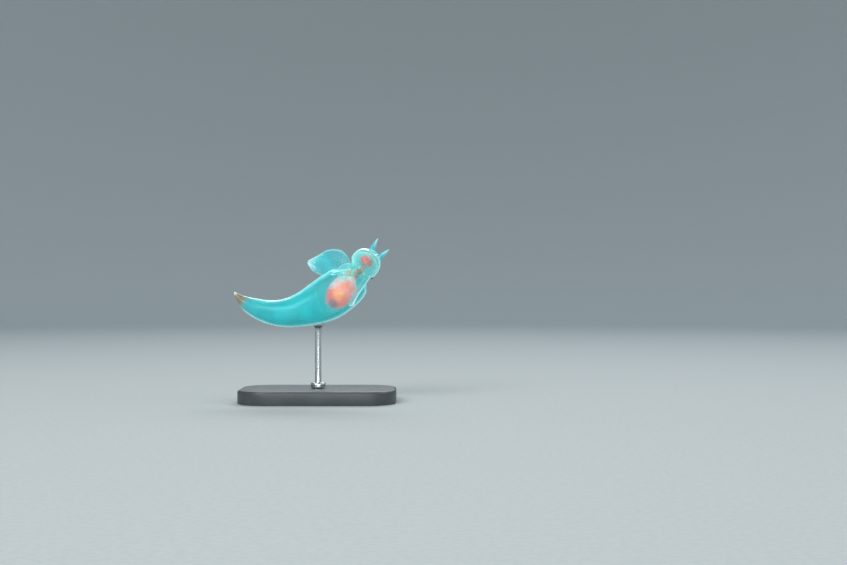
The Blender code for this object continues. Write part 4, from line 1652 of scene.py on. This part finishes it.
bevel_where(plate, lambda a, b: abs(a - b) > PLATE_SIZE[2] - CLOSE, PLATE_CORNER, 20)
bevel_where(plate, lambda a, b: min(a, b) > PLATE_SIZE[2] - CLOSE, PLATE_RIM, 5)
bevel_where(plate, lambda a, b: max(a, b) < CLOSE, PLATE_FOOT_RIM, 2)
print("base plate triangles:", count_triangles(plate))

# %% [markdown]
# The rod is turned from bar: a round collar at its foot, a thin shank, and a mouth that flares to carry the
# belly. A ray sent up from the plate finds how high the belly is. The flare is hollowed to the body's own
# shape, a third of a millimetre clear of it. A small set screw in the collar holds the rod, as on such
# stands. Its socket is made by three insets, the last one pushed in.

# %% Steel rod
ROD_FOOT = 4.3
ROD_RADIUS = 0.95
COLLAR_RADIUS = 2.2
CRADLE_GAP = 0.3
COLLAR_STEPS = (
    (0.0, -0.18), (0.18, 0.0), (0.52, 0.0), (0.58, -0.1), (0.66, -0.1), (0.72, 0.0), (1.05, 0.0),
    (1.2, -0.05), (1.32, -0.16), (1.39, -0.34),
)
SHANK_STEPS = ((1.4, 1.15), (1.45, 0.98), (1.6, ROD_RADIUS), (5.7, ROD_RADIUS), (10.7, ROD_RADIUS))
FLARE_STEPS = (
    (-2.2, ROD_RADIUS), (-1.75, 1.0), (-1.32, 1.09), (-0.9, 1.3), (-0.55, 1.56), (-0.1, 1.76),
    (0.44, 1.9), (2.2, 1.9),
)

probe_start = Vector((0, 0, 5 * MM))
belly_height = skin.ray_cast(probe_start, Vector((0, 0, 1)))[1].z / MM
rod_steps = [(0, ROD_FOOT + height, COLLAR_RADIUS + more) for height, more in COLLAR_STEPS]
rod_steps += [(0, ROD_FOOT + height, radius) for height, radius in SHANK_STEPS]
rod_steps += [(0, belly_height + height, radius) for height, radius in FLARE_STEPS]
rod = pull_up("stand_rod_turned", 64, rod_steps)
cutter = whole_body("cutter", CRADLE_GAP)
use_modifier(rod, "BOOLEAN", object=cutter, operation="DIFFERENCE", solver="EXACT")
bpy.data.objects.remove(cutter)
print("belly height above the rod, mm:", round(belly_height, 2), "rod triangles:", count_triangles(rod))

# %% Set screw
SCREW_RADIUS = 0.36
SCREW_LENGTH = 0.8
SCREW_PROUD = 0.05
SCREW_HEIGHT = 0.9
SCREW_TURN = math.radians(-62)
SCREW_CROWN = (0.05, 0.04)
SCREW_FACE = (0.12, 0.0)
SCREW_SOCKET = (0.01, -0.3)

deselect()
bpy.ops.mesh.primitive_cylinder_add(
    vertices=32, radius=SCREW_RADIUS * MM, depth=SCREW_LENGTH * MM, location=(0, 0, -SCREW_LENGTH / 2 * MM)
)
screw = start("set_screw")
screw_top = max(face.center.z for face in screw.data.polygons)
edit_only(screw, "polygons", lambda face: face.center.z == screw_top)
for inward, outward in (SCREW_CROWN, SCREW_FACE, SCREW_SOCKET):
    bpy.ops.mesh.inset(thickness=inward * MM, depth=outward * MM)
leave_edit()
screw_out = Vector((math.cos(SCREW_TURN), math.sin(SCREW_TURN), 0))
screw_centre = Vector((0, 0, (ROD_FOOT + SCREW_HEIGHT) * MM))
screw_place = screw_out * (COLLAR_RADIUS + SCREW_PROUD) * MM + screw_centre
set_down(screw, screw_place, Vector((0, 0, 1)), screw_out)
print("set screw triangles:", count_triangles(screw))

# %% [markdown]
# Powder coat is sprayed as dust and baked, so it dries to fine dimples called orange peel, about half a
# millimetre across, with a satin gloss. Where hands and cloths rub the rim it turns a little smoother.

# %% Powder coat and steel
PEEL_SIZE = 0.5
PEEL_DEPTH = 0.03
FLECK_SIZE = 0.22
CAST_SIZE = 9.0
RUBBED_SIZE = 5.0
SMUDGE_SIZE = 2.5
STEEL_GRAIN = 0.3
SMOOTH_ANGLE = math.radians(35)

# Tool marks on turned steel are 0.05 mm apart. They are drawn four times as far apart, so that they show.
TOOL_MARK = 0.2
TOOL_MARK_DEPTH = 0.008


# Powder coat is a thick film of polyester: a satin grey-black with fine dimples and a faint paler fleck.
def powder_coat():
    made, node, shader, places = new_material("satin_powder_coat_on_steel")
    cast = node("step", node("noise", places, 1 / CAST_SIZE, 2.0), 0.3, 0.7)
    fleck = node("step", node("noise", places, 1 / FLECK_SIZE, 2.0), 0.6, 0.72)
    colour = node("blend", cast, tone("34383c"), tone("3d4246"))
    fill_in(shader, {
        "Base Color": node("blend", node("product", fleck, 0.35), colour, tone("5a6066")),
        "Roughness": node("step", node("noise", places, 1 / RUBBED_SIZE, 3.0), 0.35, 0.65, 0.42, 0.52),
        "Normal": node("bump", node("noise", places, 1 / PEEL_SIZE, 2.0), 0.35, PEEL_DEPTH * MM),
        "IOR": 1.5,
        "Coat Weight": 0.1,
        "Coat Roughness": 0.3,
    })
    return made


# Stainless steel turned on a lathe is bright and a little hazy, with fine rings round it and soft smudges.
def turned_steel():
    made, node, shader, places = new_material("turned_stainless_steel")
    marks = node("sine", node("product", node("split", places)["Z"], 2 * math.pi / TOOL_MARK))
    smudge = node("step", node("noise", places, 1 / SMUDGE_SIZE, 3.0), 0.35, 0.7)
    height = node("sum", marks, node("noise", places, 1 / STEEL_GRAIN, 3.0))
    fill_in(shader, {
        "Base Color": node("blend", smudge, tone("c9cccd"), tone("b4b8ba")),
        "Roughness": node("between", smudge, 0.2, 0.33),
        "Normal": node("bump", height, 0.1, TOOL_MARK_DEPTH * MM),
        "Metallic": 1.0,
    })
    return made


dress(plate, powder_coat())
steel = turned_steel()
for piece in (rod, screw):
    dress(piece, steel)
for piece in (plate, rod, screw):
    only(piece)
    bpy.ops.object.shade_smooth_by_angle(angle=SMOOTH_ANGLE)
print("stand finished")

# %% [markdown]
# ## Stage and light
# Floor and backdrop are one smooth bowl of pale grey, so that a low camera sees no edge from any side. The
# clear flesh needs light from behind to glow at its rims, so a wide soft light stands high behind it, with
# a large key light above the camera, a low bounce card in front that lights the belly, and a weak fill on
# the far side. Light may pass many clear layers here, because skin, wall, sheath and muscle each count.

# %% Stage
FLOOR_RADIUS = 760
BOWL_REACH = 340
BOWL_HEIGHT = 620
BOWL_STEPS = 16

bowl_steps = [(0, 0, FLOOR_RADIUS)]
for k in range(1, BOWL_STEPS + 1):
    turn = math.pi / 2 * k / BOWL_STEPS
    bowl_steps.append((0, BOWL_HEIGHT * (1 - math.cos(turn)), FLOOR_RADIUS + BOWL_REACH * math.sin(turn)))
bowl = pull_up("studio_bowl", 96, bowl_steps)
bowl_top = max(face.center.z for face in bowl.data.polygons)
edit_only(bowl, "polygons", lambda face: face.center.z == bowl_top)
bpy.ops.mesh.delete(type="FACE")
bpy.ops.mesh.select_all(action="SELECT")
bpy.ops.mesh.flip_normals()
leave_edit()
print("bowl, mm across and high:", round(bowl.dimensions.x / MM), round(bowl.dimensions.z / MM))

# %% Paper
PAINTED_FALLOFF_RANGE = (60, 800)

# Fibres are a twentieth of a millimetre wide. They are drawn as clouds of a millimetre, so that they show.
FIBRE_SIZE = 1.2
PAPER_GRAIN = 0.6
PAPER_DEPTH = 0.05


# Backdrop paper is matt, with a faint fibre. It is painted a shade darker away from the stand, a painted
# falloff of the light.
def backdrop_paper():
    made, node, shader, places = new_material("backdrop_paper_with_painted_falloff")
    fibre = node("step", node("noise", places, 1 / FIBRE_SIZE, 5.0), 0.3, 0.7)
    floor = node("blend", fibre, tone("b2b8ba"), tone("b8bec0"))
    painted_falloff = node("step", node("length", places), *PAINTED_FALLOFF_RANGE)
    fill_in(shader, {
        "Base Color": node("blend", painted_falloff, floor, tone("949da1")),
        "Roughness": 0.85,
        "Specular IOR Level": 0.3,
        "Normal": node("bump", node("noise", places, 1 / PAPER_GRAIN, 4.0), 0.05, PAPER_DEPTH * MM),
    })
    return made


dress(bowl, backdrop_paper())
print("the paper darkens from and to, mm:", PAINTED_FALLOFF_RANGE)

# %% Lights
AIM = Vector((-0.001, 0.0, 0.032))
SOFT_LIGHTS = (
    ("key_light", (-0.45, -0.85, 0.55), 0.6, 0.6, 10.5, "fffefc"),
    ("bounce_card", (0.15, -0.8, 0.06), 0.8, 0.3, 4.0, "fbfeff"),
    ("back_light", (0.15, 1.2, 1.05), 1.2, 0.6, 14.0, "f4fcff"),
    ("side_fill", (0.8, -0.1, 0.5), 0.6, 0.5, 2.0, "f6fbff"),
)
AIR_STRENGTH = 0.28
CLEAR_LAYERS = 32


def soft_light(name, where, wide, high, watts, code):
    lamp = bpy.data.lights.new(name, "AREA")
    lamp.shape = "RECTANGLE"
    lamp.size, lamp.size_y = wide, high
    lamp.energy = watts
    lamp.color = tone(code)[:3]
    holder = bpy.data.objects.new(name, lamp)
    holder.location = where
    holder.rotation_euler = (AIM - Vector(where)).to_track_quat("-Z", "Y").to_euler()
    bpy.context.scene.collection.objects.link(holder)


for light in SOFT_LIGHTS:
    soft_light(*light)

scene = bpy.context.scene
scene.world = bpy.data.worlds.new("studio_air")
scene.world.use_nodes = True
fill_in(scene.world.node_tree.nodes["Background"], {"Color": tone("e9f1f3"), "Strength": AIR_STRENGTH})
scene.view_settings.view_transform = "Standard"
scene.cycles.transparent_max_bounces = CLEAR_LAYERS
print("lights:", len(SOFT_LIGHTS))

# %% [markdown]
# ## Everything rides on one body
# The imported part has one body. Each new piece rides on it, and the plain solids that the new pieces
# stand for are hidden.

# %% Ride and replace
FLESH_NODES = (
    "tail_tip", "tail", "trunk_rear", "trunk_middle", "trunk_front", "neck", "head",
    "tentacle_front_left", "tentacle_front_right", "tentacle_rear_left", "tentacle_rear_right",
    "wing_left", "wing_right", "foot_lobe_left", "foot_lobe_right", "foot_lobe_middle",
)
organs = (bag, sheath, neck_gland, gullet, buccal, nerves, head_muscle, body_wall)
for piece in (skin, *organs, tail_core, *eyes.values(), plate, rod, screw):
    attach(piece, "root")
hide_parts(*FLESH_NODES)
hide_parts("eye_right")
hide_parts("eye_left")
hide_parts("stand_base")
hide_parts("stand_rod")
print("pieces of the animal:", 1 + len(organs) + 1 + len(eyes))
